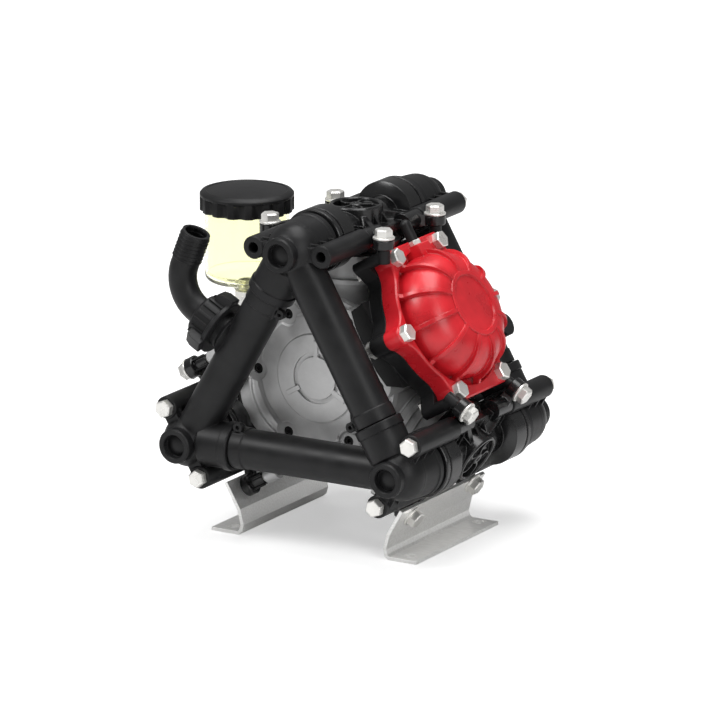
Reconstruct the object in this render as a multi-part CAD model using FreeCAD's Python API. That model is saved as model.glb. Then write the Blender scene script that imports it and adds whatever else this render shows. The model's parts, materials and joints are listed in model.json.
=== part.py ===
import FreeCAD, Part

import math
import os

from FreeCAD import Rotation, Vector

# Frame: X to the right, Y to the back, Z up, millimetres. The floor is Z = 0, and the origin is the
# centre of the four foot holes. The crankshaft lies along Y, above the origin.

# Layout
shaft_height = 142.0          # floor to the crankshaft's axis
port_circle = 115.5           # crankshaft's axis to each head's port axis
side_length = port_circle * math.sqrt(3)
manifold_plane = 96.5         # mid-plane of the pump to each manifold's tubes
port_face = 123.6             # mid-plane to the faces of the manifold ports
stations = {"top": 90.0, "left": 210.0, "right": 330.0}
damper_side = 30.0            # direction of the red air chamber
seat_gap = 0.3                # between curved or moulded pieces that only lie against each other
running_gap = 0.05            # radial clearance of a shaft or piston in its bore

# Crankcase
barrel_radius = 54.0
barrel_half_length = 50.0
chamber_radius = 45.0
rim_radius = 66.0
rim_thickness = 7.0
mouth_radius = 35.0
mouth_height = 97.0           # crankshaft's axis to the face that a diaphragm lies on
piston_bore = 25.0
mouth_rib_height = 74.0
mouth_rib_width = 4.0
mouth_rib_depth = 3.5
ear_depth = 12.0              # length of the threaded ears below each mouth face

# Crankcase covers
cover_thickness = 10.0
cover_radius = 58.0
cover_screw_circle = 57.4
cover_screw_count = 6
cover_lobe_radius = 11.0
cover_dome_radius = 36.5
cover_dome_rise = 3.5
cover_disc_radius = 18.0
cover_groove_width = 3.5
cover_groove_depth = 2.0
cover_tab_length = 10.0
cover_tab_width = 4.0
cover_spigot_length = 8.0
cover_spigot_wall = 7.0

# Screws and bolts
bolt_radius = 4.0
bolt_hole_gap = 0.3
hex_flats = 13.0
hex_height = 6.5
washer_radius = 9.0
washer_height = 1.8
screw_radius = 2.5
screw_head_radius = 4.2
screw_head_height = 4.0
screw_socket_radius = 2.2

# Crank drive
eccentricity = 5.0
crank_rest_angle = 90.0       # direction of the eccentric at rest
eccentric_radius = 20.0
eccentric_length = 30.0
ring_radius = 26.0            # crank pin's axis to the ring's flats
ring_corner_radius = 29.0
ring_length = 28.0
journal_radius = 15.0
seal_journal_radius = 13.5
shaft_radius = 12.5
relief_depth = 0.5           # grinding relief between the seal's journal and the free end
relief_width = 1.0
shaft_hole_gap = 1.0
shaft_end = 122.0
keyway_width = 8.0             # open to the shaft's end: the coupling brings the key
keyway_depth = 4.0
keyway_length = 30.0
bearing_outer = 26.0
bearing_width = 14.0
ball_radius = 2.5
ball_count = 10
seal_width = 7.0
seal_wall = 6.0
seal_journal_overhang = 1.0

# Pistons and diaphragms
piston_crown_radius = 21.0
piston_crown_thickness = 4.0
piston_length = 24.0
piston_wall = 4.0
mouth_ear_radius = 6.5
pin_radius = 5.0
pin_depth = 15.0
rod_width = 14.0
rod_thickness = 10.0
foot_width = 24.0
foot_thickness = 5.0
diaphragm_radius = 34.5
diaphragm_thickness = 2.5
diaphragm_roll_radius = 29.0
clamp_radius = 17.0
clamp_thickness = 2.0
clamp_stud_depth = 9.0
rod_foot_gap = 0.5            # between a rod's foot and the ring's flat

# Heads
head_base_radius = 37.0
head_base_height = 8.5
head_tube_radius = 16.0
head_tube_bore = 10.5
collar_radius = 27.0
collar_bore = 23.0
collar_start = 43.5
collar_end = 68.6
valve_pocket_start = 46.5
head_ring_radius = 22.0
head_ring_wall = 3.0
head_ring_height = 134.0
head_ring_floor = 128.5
head_rib_thickness = 3.0
head_spoke_count = 4
head_spoke_turn = 30.0
head_bolt_front = 53.8        # sideways place of the two bolts towards the suction side
head_bolt_rear = 47.5         # sideways place of the two bolts towards the delivery side
head_bolt_axial = 46.5
head_bolt_seat = 120.5
head_column_radius = 5.4
head_ear_radius = 8.8
head_ear_height = 8.5
pump_chamber_radius = 29.0
pump_chamber_roof = 107.2
chamber_port_radius = 8.0

# Manifold corners
elbow_radius = 22.5
barrel_end_radius = 25.0
barrel_gap = 2.0              # groove between a collar's rim and the corner's barrel
spigot_end = 60.0
tube_radius = 16.7
tube_bore = 12.7
socket_radius = 20.3
socket_start = 18.0
socket_end = 45.0
socket_depth = 24.0
tube_spigot_radius = 15.0
port_radius = 14.0
port_bore = 9.5
port_recess = 7.0
manifold_bolt_offset = 31.7
manifold_boss_radius = 9.5
manifold_boss_face = 109.0
manifold_boss_end = 43.6
manifold_web_half = 6.0
head_web_half = 3.5
manifold_bolt_length = 84.0
clip_hole_radius = 1.6
clip_radius = 4.2
clip_thickness = 5.0
clip_reach = 2.5              # lug's centre beyond the tube's wall
clip_back = 6.0               # lug's centre before the socket

# Valves
valve_seat_thickness = 3.0
valve_seat_bore = 11.0
valve_plate_radius = 14.5
valve_plate_thickness = 2.5
valve_cage_wall = 2.5
valve_hub_radius = 5.0
valve_bar_width = 3.0
valve_spring_radius = 9.0
valve_spring_wall = 1.6        # measured outwards from the axis
valve_spring_waves = 4
valve_spring_lap = 0.8         # how far the spring's ends reach under the guide's hub
valve_boss_height = 1.2

# Feet
foot_thickness_sheet = 3.0
foot_front = -69.0
foot_back = 66.0
foot_hole_x = 84.3
foot_hole_y = 57.0
foot_hole_radius = 5.5
foot_outer_x = 97.6
foot_bend_x = 66.5
foot_bend_height = 9.0
foot_bend_run = 5.0           # sideways run of the bend at the floor
foot_plate_start = 43.7       # across a head, from its radial axis to the plate's upper edge
foot_plate_end = 69.0         # and to the plate's bend
foot_tilt = 30.0

# Air chamber
damper_bolt_circle = 68.5
damper_bolt_count = 6
damper_lobe_radius = 8.5
damper_flange_radius = 63.0
damper_base_bottom = 70.0
damper_split = 84.0
damper_seat = 100.0
damper_dome_radius = 57.5
damper_dome_top = 129.0
damper_cap_radius = 28.0
damper_cap_recess = 1.0
damper_wall = 3.5
damper_rib_count = 16
damper_rib_width = 3.0
damper_rib_rise = 2.2
damper_edge_half_width = 66.0
damper_spigot_radius = 6.0
damper_feed_side = 25.0
damper_post_radius = 5.0
air_diaphragm_thickness = 3.0
air_button_radius = 14.0
air_button_thickness = 2.0
air_button_stud = 6.0
wedge_inner = 30.0
wedge_half_width = 9.0
wedge_rise = 9.0              # top of the wedge above the bolts' seat
air_valve_radius = 4.0
air_valve_stem = 2.6
air_valve_length = 12.0
air_valve_hex = 11.0
air_valve_hex_height = 4.0
valve_cap_radius = 4.6
valve_cap_bore = 2.9
valve_cap_length = 14.0

# Oil tank
tank_x = -104.6
tank_radius = 35.0
tank_wall = 2.5
tank_bottom = 56.0
tank_top = 125.0
tank_neck_radius = 11.0
tank_funnel_bottom = 48.0
tank_arm_height = 22.0
tank_arm_radius = 11.0
tank_fitting_radius = 7.0
tank_fitting_height = 14.0
tank_fitting_wall = 2.5
tank_fitting_spigot = 6.0
tank_fitting_reach = 8.0      # into the tank's neck
cap_radius = 39.0
cap_bottom = 115.0
cap_top = 132.0
cap_crown = 2.5
cap_wall = 3.0
cap_scallops = 14
cap_scallop_radius = 4.0

# Inlet
inlet_stub_radius = 15.5
inlet_seat = 84.0             # crankshaft's axis to the end of the inlet stub, along its direction
inlet_side = 150.0
nut_flange_radius = 24.0
nut_body_radius = 19.0
nut_length = 22.0
nut_grip_count = 18
nut_grip_width = 2.8
nut_grip_rise = 2.2
nut_flange_thickness = 4.0
nut_overlap = 4.0             # how far the nut reaches down over the stub
nut_lug_width = 12.0
nut_lug_reach = 28.0
nut_lug_height = 16.0
gasket_thickness = 2.0
elbow_straight = 20.0
elbow_collar_thickness = 3.6
barb_ring_count = 6
barb_ring_pitch = 5.0
barb_ring_width = 3.0
barb_ring_rise = 0.8
barb_radius = 12.4
barb_bore = 9.4
barb_bend_radius = 30.0
barb_length = 30.0
barb_turn = 82.0

X = Vector(1, 0, 0)
Y = Vector(0, 1, 0)
Z = Vector(0, 0, 1)
centre = Vector(0, 0, 0)


# Building blocks

def cylinder(radius, length, base, axis):
    return Part.makeCylinder(radius, length, base, axis)


def tube(outer, inner, length, base, axis):
    return cylinder(outer, length, base, axis).cut(cylinder(inner, length, base, axis))


def box(low, high):
    size = high - low
    return Part.makeBox(size.x, size.y, size.z, low)


def middle_box(width, depth, low, high):
    return box(Vector(-width / 2, -depth / 2, low), Vector(width / 2, depth / 2, high))


def revolved(outline):
    """Turn an outline of (radius, height) points about the Z axis."""
    points = [Vector(radius, 0, height) for radius, height in outline]
    face = Part.Face(Part.makePolygon(points + points[:1]))
    return face.revolve(centre, Z, 360)


def hexagon(flats, height, base, axis):
    corner = flats / math.sqrt(3)
    points = [polar(corner, 60 * step) for step in range(7)]
    prism = Part.Face(Part.makePolygon(points)).extrude(Z * height)
    return aimed(prism, axis).translated(base)


def polar(radius, angle, height=0.0):
    turn = math.radians(angle)
    return Vector(radius * math.cos(turn), radius * math.sin(turn), height)


def aimed(shape, axis):
    """Turn a shape that was built along Z so that it lies along axis."""
    turned = shape.copy()
    turned.Placement = FreeCAD.Placement(centre, Rotation(Z, axis)).multiply(turned.Placement)
    return turned


def joined(shapes):
    """Fuse shapes into one body, without seams where that leaves it sound."""
    whole = shapes[0]
    for shape in shapes[1:]:
        whole = whole.fuse(shape)
    return seamless(whole)


def seamless(shape):
    """Merge the faces that a fuse or cut split, unless that would harm a sound body."""
    smooth = shape.removeSplitter()
    changed = abs(smooth.Volume - shape.Volume) > 1
    if shape.isValid() and (changed or not smooth.isValid()):
        return shape
    return smooth


def carved(shape, tools):
    """Cut the tools out one after the other."""
    for tool in tools:
        shape = shape.cut(tool)
    return shape


def at_station(shape, angle):
    """Move a shape built with its radial direction along Z to its direction round the crankshaft."""
    placed = shape.copy()
    turn = FreeCAD.Placement(centre, Rotation(Y, 90 - angle))
    lift = FreeCAD.Placement(Z * shaft_height, Rotation())
    placed.Placement = lift.multiply(turn).multiply(placed.Placement)
    return placed


def mirrored_back(shape):
    return shape.mirror(centre, Y)


def lifted(shape):
    return shape.translated(Z * shaft_height)


def facing_front(shape):
    """Turn a shape built along Z so that its top faces the front, and lift it to the crankshaft."""
    return lifted(shape.rotated(centre, X, 90))


def facing_back(shape):
    return lifted(shape.rotated(centre, X, -90))


# Bolts and screws

def hex_bolt(shank_length, washer=True):
    """A hex bolt with its seat at the origin and its shank along -Z."""
    head = hexagon(hex_flats, hex_height, centre, Z)
    shank = cylinder(bolt_radius, shank_length, Z * -shank_length, Z)
    parts = [head, shank]
    if washer:
        parts.append(cylinder(washer_radius, washer_height, centre, Z))
        head.translate(Z * washer_height)
    return joined(parts)


def hex_nut():
    blank = hexagon(hex_flats, hex_height, centre, Z)
    return blank.cut(cylinder(bolt_radius, hex_height, centre, Z))


def socket_screw(length):
    """A socket screw with the top of its head at the origin and its shank along -Z."""
    head = cylinder(screw_head_radius, screw_head_height, Z * -screw_head_height, Z)
    shank = cylinder(screw_radius, length, Z * -(screw_head_height + length), Z)
    socket = hexagon(screw_socket_radius * 1.8, screw_head_height / 2, Z * (-screw_head_height / 2), Z)
    return joined([head, shank]).cut(socket)


# Crankcase, built with the crankshaft along Y through the origin

def head_bolt_places():
    """The four bolts of a head: sideways and along the crankshaft."""
    places = []
    for side in (-1, 1):
        places.append((side * head_bolt_front, -head_bolt_axial))
        places.append((side * head_bolt_rear, head_bolt_axial))
    return places


def beside_damper(name, across):
    """Whether a head's bolt stands next to the air chamber, whose bracket it then screws into."""
    return across * {"top": 1, "right": -1}.get(name, 0) > 0


def crankcase_mouth(name):
    """One cylinder of the crankcase with the threaded ears for a head's bolts."""
    wall = [cylinder(mouth_radius, mouth_height, centre, Z)]
    rib = cylinder(mouth_radius + mouth_rib_depth, mouth_rib_width, Z * mouth_rib_height, Z)
    wall.append(rib)
    ear_bottom = mouth_height - ear_depth
    for across, along in head_bolt_places():
        if beside_damper(name, across):
            continue
        wall.append(cylinder(mouth_ear_radius, ear_depth, Vector(across, along, ear_bottom), Z))
        web = box(Vector(0, -mouth_ear_radius / 2, ear_bottom),
                  Vector(math.hypot(across, along), mouth_ear_radius / 2, mouth_height))
        wall.append(web.rotated(centre, Z, math.degrees(math.atan2(along, across))))
    return joined(wall)


def mouth_hollow():
    hollow = [cylinder(piston_bore, mouth_height, centre, Z)]
    roll_depth = eccentricity * 1.5
    hollow.append(cylinder(diaphragm_roll_radius, roll_depth, Z * (mouth_height - roll_depth), Z))
    for across, along in head_bolt_places():
        base = Vector(across, along, mouth_height - ear_depth)
        hollow.append(cylinder(bolt_radius, ear_depth, base, Z))
    return hollow


def turned_to(shape, angle):
    return shape.rotated(centre, Y, 90 - angle)


def oil_arm():
    """The arm that carries the oil fitting, with its channel into the crankcase."""
    arm = cylinder(tank_arm_radius, -tank_x, Vector(tank_x, 0, tank_arm_height), X)
    pad_top = tank_funnel_bottom - tank_fitting_height
    post = cylinder(tank_arm_radius, pad_top - tank_arm_height, Vector(tank_x, 0, tank_arm_height), Z)
    end = Part.makeSphere(tank_arm_radius, Vector(tank_x, 0, tank_arm_height))
    return [arm, post, end]


def oil_channel():
    pad_top = tank_funnel_bottom - tank_fitting_height
    drop = cylinder(tank_fitting_radius, pad_top - tank_arm_height, Vector(tank_x, 0, tank_arm_height), Z)
    run = cylinder(tank_fitting_radius, -tank_x, Vector(tank_x, 0, tank_arm_height), X)
    return [drop, run]


def cover_screw_places():
    step = 360 / cover_screw_count
    return [polar(cover_screw_circle, step * number) for number in range(cover_screw_count)]


def barrel_ring():
    """The barrel with its two rims, its screw lobes and the chamber through it."""
    length = 2 * barrel_half_length
    ring = [cylinder(barrel_radius, length, Y * -barrel_half_length, Y),
            cylinder(rim_radius, rim_thickness, Y * -barrel_half_length, Y),
            cylinder(rim_radius, rim_thickness, Y * (barrel_half_length - rim_thickness), Y)]
    for place in cover_screw_places():
        ring.append(cylinder(cover_lobe_radius, length, Vector(place.x, -barrel_half_length, place.y), Y))
    return chamber_cut(ring)


def chamber_cut(pieces):
    """Fuse the pieces after taking the crank chamber out of each."""
    past_ends = barrel_half_length + 1
    chamber = cylinder(chamber_radius, 2 * past_ends, Y * -past_ends, Y)
    whole = pieces[0].cut(chamber)
    for piece in pieces[1:]:
        whole = whole.fuse(piece.cut(chamber))
    return whole


def crankcase():
    mouths = []
    hollow = []
    for name, angle in stations.items():
        mouths.append(turned_to(crankcase_mouth(name), angle))
        hollow += [turned_to(piece, angle) for piece in mouth_hollow()]
    whole = carved(chamber_cut([barrel_ring()] + mouths), hollow)
    for piece in oil_arm():
        whole = whole.fuse(chamber_cut([piece]))
    drilled = oil_channel()
    for place in cover_screw_places():
        across = Vector(place.x, -barrel_half_length, place.y)
        drilled.append(cylinder(screw_radius, 2 * barrel_half_length, across, Y))
    return lifted(carved(whole, drilled))


# Crankcase covers, built facing up

def cover_outline(thickness):
    plate = [cylinder(cover_radius, thickness, centre, Z)]
    for place in cover_screw_places():
        plate.append(cylinder(cover_lobe_radius, thickness, place, Z))
    return plate


def cover_screw_holes(thickness):
    holes = []
    for place in cover_screw_places():
        holes.append(cylinder(screw_radius + bolt_hole_gap, thickness, place, Z))
        recess = Z * (thickness - screw_head_height - 1)
        holes.append(cylinder(screw_head_radius + bolt_hole_gap, screw_head_height + 1, place + recess, Z))
    return holes


def bearing_seat(depth):
    """The ring inside a cover that holds a bearing, from its floor at height 0 downwards."""
    return tube(bearing_outer + cover_spigot_wall, bearing_outer, depth, Z * -depth, Z)


def crankcase_cover():
    slope = cover_dome_radius + cover_dome_rise
    dome_top = cover_thickness + cover_dome_rise
    dome = revolved([(0, cover_thickness / 2), (slope, cover_thickness / 2), (slope, cover_thickness),
                     (cover_dome_radius, dome_top), (0, dome_top)])
    spigot = tube(chamber_radius - seat_gap, chamber_radius - cover_spigot_wall,
                  cover_spigot_length, Z * -cover_spigot_length, Z)
    plate = joined(cover_outline(cover_thickness) + [dome, spigot, bearing_seat(bearing_width)])
    groove = tube(cover_disc_radius + cover_groove_width, cover_disc_radius, cover_groove_depth,
                  Z * (dome_top - cover_groove_depth), Z)
    plate = plate.cut(cover_screw_holes(cover_thickness) + [groove])
    tabs = []
    for angle in stations.values():
        tab = box(Vector(cover_disc_radius, -cover_tab_width / 2, dome_top - cover_groove_depth),
                  Vector(cover_disc_radius + cover_groove_width + cover_tab_length,
                         cover_tab_width / 2, dome_top + cover_groove_depth / 2))
        tabs.append(tab.rotated(centre, Z, angle))
    whole = joined([plate] + tabs)
    return facing_front(whole.translated(Z * barrel_half_length))


def rear_cover():
    """The cover that the shaft comes out of, with a seal in its hub."""
    hub_top = cover_thickness + seal_width
    hub = cylinder(bearing_outer, hub_top, centre, Z)
    spigot = tube(chamber_radius - seat_gap, chamber_radius - cover_spigot_wall,
                  cover_spigot_length, Z * -cover_spigot_length, Z)
    plate = joined(cover_outline(cover_thickness) + [hub, spigot, bearing_seat(bearing_width)])
    seal_pocket = cylinder(seal_outer(), seal_width, Z * (hub_top - seal_width), Z)
    shaft_hole = cylinder(seal_journal_radius + shaft_hole_gap, hub_top, centre, Z)
    plate = plate.cut(cover_screw_holes(cover_thickness) + [seal_pocket, shaft_hole])
    return facing_back(plate.translated(Z * barrel_half_length))


def seal_outer():
    return seal_journal_radius + seal_wall


def cover_screws():
    screws = []
    for place in cover_screw_places():
        screw = socket_screw(cover_thickness * 2)
        top = barrel_half_length + cover_thickness - 1
        screw.translate(place + Z * top)
        screws.append(facing_front(screw))
        screws.append(facing_back(screw))
    return Part.makeCompound(screws)


def bearing(side):
    """A ball bearing as its two rings and its balls."""
    floor = barrel_half_length - bearing_width
    middle = (bearing_outer + journal_radius) / 2
    outer_ring = tube(bearing_outer - running_gap, middle + ball_radius, bearing_width, Z * floor, Z)
    inner_ring = tube(middle - ball_radius, journal_radius, bearing_width, Z * floor, Z)
    pieces = [outer_ring, inner_ring]
    for number in range(ball_count):
        place = polar(middle, 360 / ball_count * number, floor + bearing_width / 2)
        pieces.append(Part.makeSphere(ball_radius, place))
    rings = Part.makeCompound(pieces)
    return facing_front(rings) if side < 0 else facing_back(rings)


def shaft_seal():
    floor = barrel_half_length + cover_thickness
    ring = tube(seal_outer() - running_gap, seal_journal_radius + running_gap, seal_width, Z * floor, Z)
    return facing_back(ring)


# Crank drive

def crank_offset():
    return Vector(math.cos(math.radians(crank_rest_angle)), 0, math.sin(math.radians(crank_rest_angle)))


def crankshaft():
    web_thickness = (barrel_half_length - bearing_width - eccentric_length / 2) / 2
    half = eccentric_length / 2
    middle = crank_offset() * eccentricity
    web_radius = eccentric_radius + eccentricity / 2
    web_middle = crank_offset() * (eccentricity / 2)
    parts = [cylinder(eccentric_radius, eccentric_length, middle - Y * half, Y)]
    for start in (-half - web_thickness, half):
        parts.append(cylinder(web_radius, web_thickness, web_middle + Y * start, Y))
    journal_length = barrel_half_length - half
    parts.append(cylinder(journal_radius, journal_length, Y * -barrel_half_length, Y))
    parts.append(cylinder(journal_radius, journal_length, Y * half, Y))
    seal_end = barrel_half_length + cover_thickness + seal_width + seal_journal_overhang
    free_start = seal_end + relief_width
    parts.append(cylinder(seal_journal_radius, seal_end - half, Y * half, Y))
    parts.append(cylinder(shaft_radius - relief_depth, free_start - half, Y * half, Y))
    parts.append(cylinder(shaft_radius, shaft_end - free_start, Y * free_start, Y))
    return lifted(joined(parts).cut(keyway()))


def keyway():
    base = Vector(-keyway_width / 2, shaft_end - keyway_length, shaft_radius - keyway_depth)
    return box(base, Vector(keyway_width / 2, shaft_end, shaft_radius))


def eccentric_ring():
    """The ring that orbits on the eccentric, with a flat for each piston rod's foot."""
    ring = tube(ring_corner_radius, eccentric_radius + running_gap, ring_length, Y * (-ring_length / 2), Y)
    flats = []
    for angle in stations.values():
        beyond = middle_box(4 * ring_radius, 2 * ring_length, ring_radius, 2 * ring_radius)
        flats.append(turned_to(beyond, angle))
    return lifted(ring.cut(flats).translated(crank_offset() * eccentricity))


# Pistons and diaphragms

def piston_lift(angle):
    return eccentricity * math.cos(math.radians(angle - crank_rest_angle))


def pin_height():
    return mouth_height - piston_crown_thickness * 2 - pin_depth


def piston(angle):
    """A guided piston with its pin and the clamp that holds the diaphragm's centre."""
    crown_bottom = mouth_height - piston_crown_thickness * 3
    guide_top = mouth_height - piston_crown_thickness * 2.5
    guide_bottom = guide_top - piston_length
    guide_radius = piston_bore - running_gap
    body = revolved([(0, mouth_height), (piston_crown_radius, mouth_height),
                     (piston_crown_radius, guide_top), (guide_radius, guide_top),
                     (guide_radius, guide_bottom), (guide_radius - piston_wall, guide_bottom),
                     (guide_radius - piston_wall, crown_bottom - 2), (0, crown_bottom - 2)])
    inner = guide_radius - piston_wall + 1
    boss_width = 2.4 * pin_radius
    bosses = []
    for side in (-1, 1):
        near = side * (rod_width / 2 + seat_gap)
        far = side * inner * 0.92
        bosses.append(box(Vector(-boss_width / 2, min(near, far), pin_height() - 1.5 * pin_radius),
                          Vector(boss_width / 2, max(near, far), crown_bottom)))
    pin_start = Vector(0, -2 * piston_bore, pin_height())
    pin_hole = cylinder(pin_radius + running_gap, 4 * piston_bore, pin_start, Y)
    stud_hole = cylinder(bolt_radius + running_gap, clamp_stud_depth,
                         Z * (mouth_height - clamp_stud_depth), Z)
    body = joined([body] + bosses).cut([pin_hole, stud_hole])
    pin_length = 1.8 * (inner - 1)
    pin = cylinder(pin_radius, pin_length, Vector(0, -pin_length / 2, pin_height()), Y)
    clamp_bottom = mouth_height + diaphragm_thickness
    clamp = joined([cylinder(clamp_radius, clamp_thickness, Z * clamp_bottom, Z),
                    cylinder(bolt_radius, diaphragm_thickness + clamp_stud_depth - 1,
                             Z * (mouth_height - clamp_stud_depth + 1), Z)])
    whole = Part.makeCompound([body, pin, clamp])
    return at_station(whole.translated(Z * piston_lift(angle)), angle)


def piston_rod(angle):
    """A stiff rod from the piston's pin to its flat foot."""
    foot_bottom = ring_radius + 2 * eccentricity + rod_foot_gap
    foot = middle_box(foot_width, foot_width * 0.9, foot_bottom, foot_bottom + foot_thickness)
    shank = middle_box(rod_thickness, rod_width, foot_bottom, pin_height())
    eye = cylinder(1.6 * pin_radius, rod_width, Vector(0, -rod_width / 2, pin_height()), Y)
    hole = cylinder(pin_radius + running_gap, rod_width, Vector(0, -rod_width / 2, pin_height()), Y)
    rod = joined([foot, shank, eye]).cut(hole)
    return at_station(rod.translated(Z * piston_lift(angle)), angle)


def diaphragm(angle):
    """A rubber disc, clamped at its rim and carried by the piston at its centre."""
    lift = piston_lift(angle)
    hole = bolt_radius + running_gap
    under = [(hole, lift), (piston_crown_radius, lift),
             ((piston_crown_radius + diaphragm_roll_radius) / 2, lift / 2 + 2 * running_gap),
             (diaphragm_roll_radius, 0), (diaphragm_radius, 0)]
    over = [(radius, height + diaphragm_thickness) for radius, height in reversed(under)]
    disc = revolved(under + over).translated(Z * mouth_height)
    return at_station(disc, angle)


# Heads

def head_ribs():
    """Ribs from the round boss to the four bolt ears."""
    ribs = []
    low = head_bolt_seat - 1.5 * head_ear_height
    for across, along in head_bolt_places():
        reach = math.hypot(across, along)
        rib = box(Vector(0, -head_rib_thickness / 2, low),
                  Vector(reach, head_rib_thickness / 2, head_bolt_seat - head_ear_height / 2))
        ribs.append(rib.rotated(centre, Z, math.degrees(math.atan2(along, across))))
    return ribs


def head_floor():
    return mouth_height + diaphragm_thickness


def head_ears(name):
    """The ears under a head's bolts, with columns down to the crankcase's ears."""
    ears = []
    floor = head_floor()
    ear_bottom = head_bolt_seat - head_ear_height
    for across, along in head_bolt_places():
        if not beside_damper(name, across):
            ears.append(cylinder(head_column_radius, ear_bottom - floor, Vector(across, along, floor), Z))
        ears.append(cylinder(head_ear_radius, head_ear_height, Vector(across, along, ear_bottom), Z))
    return ears


def manifold_bolt_bosses():
    bosses = []
    length = (manifold_boss_end - seat_gap) - head_ring_radius
    for side in (-1, 1):
        for end in (-1, 1):
            base = Vector(side * manifold_bolt_offset, end * head_ring_radius, port_circle)
            bosses.append(cylinder(manifold_boss_radius - 1, length, base, Y * end))
            corner = Vector(side * manifold_bolt_offset, end * (head_ring_radius + length),
                            port_circle - head_web_half)
            foot = Vector(0, end * head_ring_radius, port_circle + head_web_half)
            bosses.append(box(Vector(min(corner.x, foot.x), min(corner.y, foot.y), corner.z),
                              Vector(max(corner.x, foot.x), max(corner.y, foot.y), foot.z)))
    return bosses


def head_round_boss():
    """The open ring on the outside of a head, with a hub and spokes in its recess."""
    bottom = head_floor() + head_base_height / 2
    ring = cylinder(head_ring_radius, head_ring_height - bottom, Z * bottom, Z)
    recess = tube(head_ring_radius - head_ring_wall, 5, head_ring_height, Z * head_ring_floor, Z)
    spokes = []
    for number in range(head_spoke_count):
        spoke = box(Vector(0, -head_rib_thickness / 2, head_ring_floor),
                    Vector(head_ring_radius - 1, head_rib_thickness / 2, head_ring_height - 1.5))
        turn = 360 / head_spoke_count * number + head_spoke_turn
        spokes.append(spoke.rotated(centre, Z, turn))
    return ring.cut(recess), spokes


def head(name):
    """The moulded housing over one diaphragm, with a valve pocket at each end of its tube."""
    axis_start = Vector(0, -collar_end, port_circle)
    ring, spokes = head_round_boss()
    solid = [cylinder(head_base_radius, head_base_height, Z * head_floor(), Z), ring]
    solid.append(cylinder(head_tube_radius, 2 * collar_end, axis_start, Y))
    for end in (-1, 1):
        base = Vector(0, end * collar_start, port_circle)
        solid.append(cylinder(collar_radius, collar_end - collar_start, base, Y * end))
    solid += head_ribs() + head_ears(name) + manifold_bolt_bosses() + spokes
    whole = joined(solid)
    hollow = [cylinder(head_base_radius + 2, head_floor(), centre, Z)]
    hollow.append(cylinder(pump_chamber_radius, pump_chamber_roof - head_floor(), Z * head_floor(), Z))
    hollow.append(cylinder(chamber_port_radius, port_circle - pump_chamber_roof, Z * pump_chamber_roof, Z))
    hollow.append(cylinder(head_tube_bore, 2 * collar_end, axis_start, Y))
    for end in (-1, 1):
        pocket = Vector(0, end * valve_pocket_start, port_circle)
        hollow.append(cylinder(collar_bore, collar_end - valve_pocket_start, pocket, Y * end))
        for side in (-1, 1):
            thread = Vector(side * manifold_bolt_offset, end * (head_ring_radius + 3), port_circle)
            hollow.append(cylinder(bolt_radius, manifold_boss_end, thread, Y * end))
    for across, along in head_bolt_places():
        hollow.append(cylinder(bolt_radius + bolt_hole_gap, head_bolt_seat, Vector(across, along, 0), Z))
        if beside_damper(name, across):
            foot = Vector(across, along, head_floor())
            room = head_bolt_seat - head_ear_height - head_floor()
            hollow.append(cylinder(head_column_radius + seat_gap, room, foot, Z))
    return seamless(carved(whole, hollow))


def head_bolts():
    """Twelve bolts: those under the lower heads also hold the feet."""
    bolts = []
    for name, angle in stations.items():
        for across, along in head_bolt_places():
            seat = head_bolt_seat + foot_lift(name, across)
            end = bracket_foot() + 2 if beside_damper(name, across) else mouth_height - ear_depth + 2
            bolt = hex_bolt(seat - end)
            bolts.append(at_station(bolt.translated(Vector(across, along, seat)), angle))
    return Part.makeCompound(bolts)


def foot_lift(name, across):
    """How far a head bolt stands out because a foot lies under it."""
    lower_side = {"left": -1, "right": 1}.get(name, 0)
    return foot_thickness_sheet if across * lower_side > 0 else 0.0


# Manifold corners, built for the front of the top head

def corner_axis(distance, sideways):
    """A point in the manifold's plane, along the run that leaves the corner at 60 degrees."""
    turn = math.radians(60)
    across = sideways * distance * math.cos(turn)
    return Vector(across, -manifold_plane, port_circle - distance * math.sin(turn))


def run(radius, start, end, sideways):
    base = corner_axis(start, sideways)
    return cylinder(radius, end - start, base, corner_axis(end, sideways) - base)


def clip_lug():
    """The small lug with a hole beside the joint between two corners."""
    turn = math.radians(60)
    along = corner_axis(side_length - socket_end - clip_back, 1)
    inward = Vector(-math.sin(turn), 0, -math.cos(turn))
    place = along + inward * (tube_radius + clip_reach) - Y * 2 * clip_thickness
    return place


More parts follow.
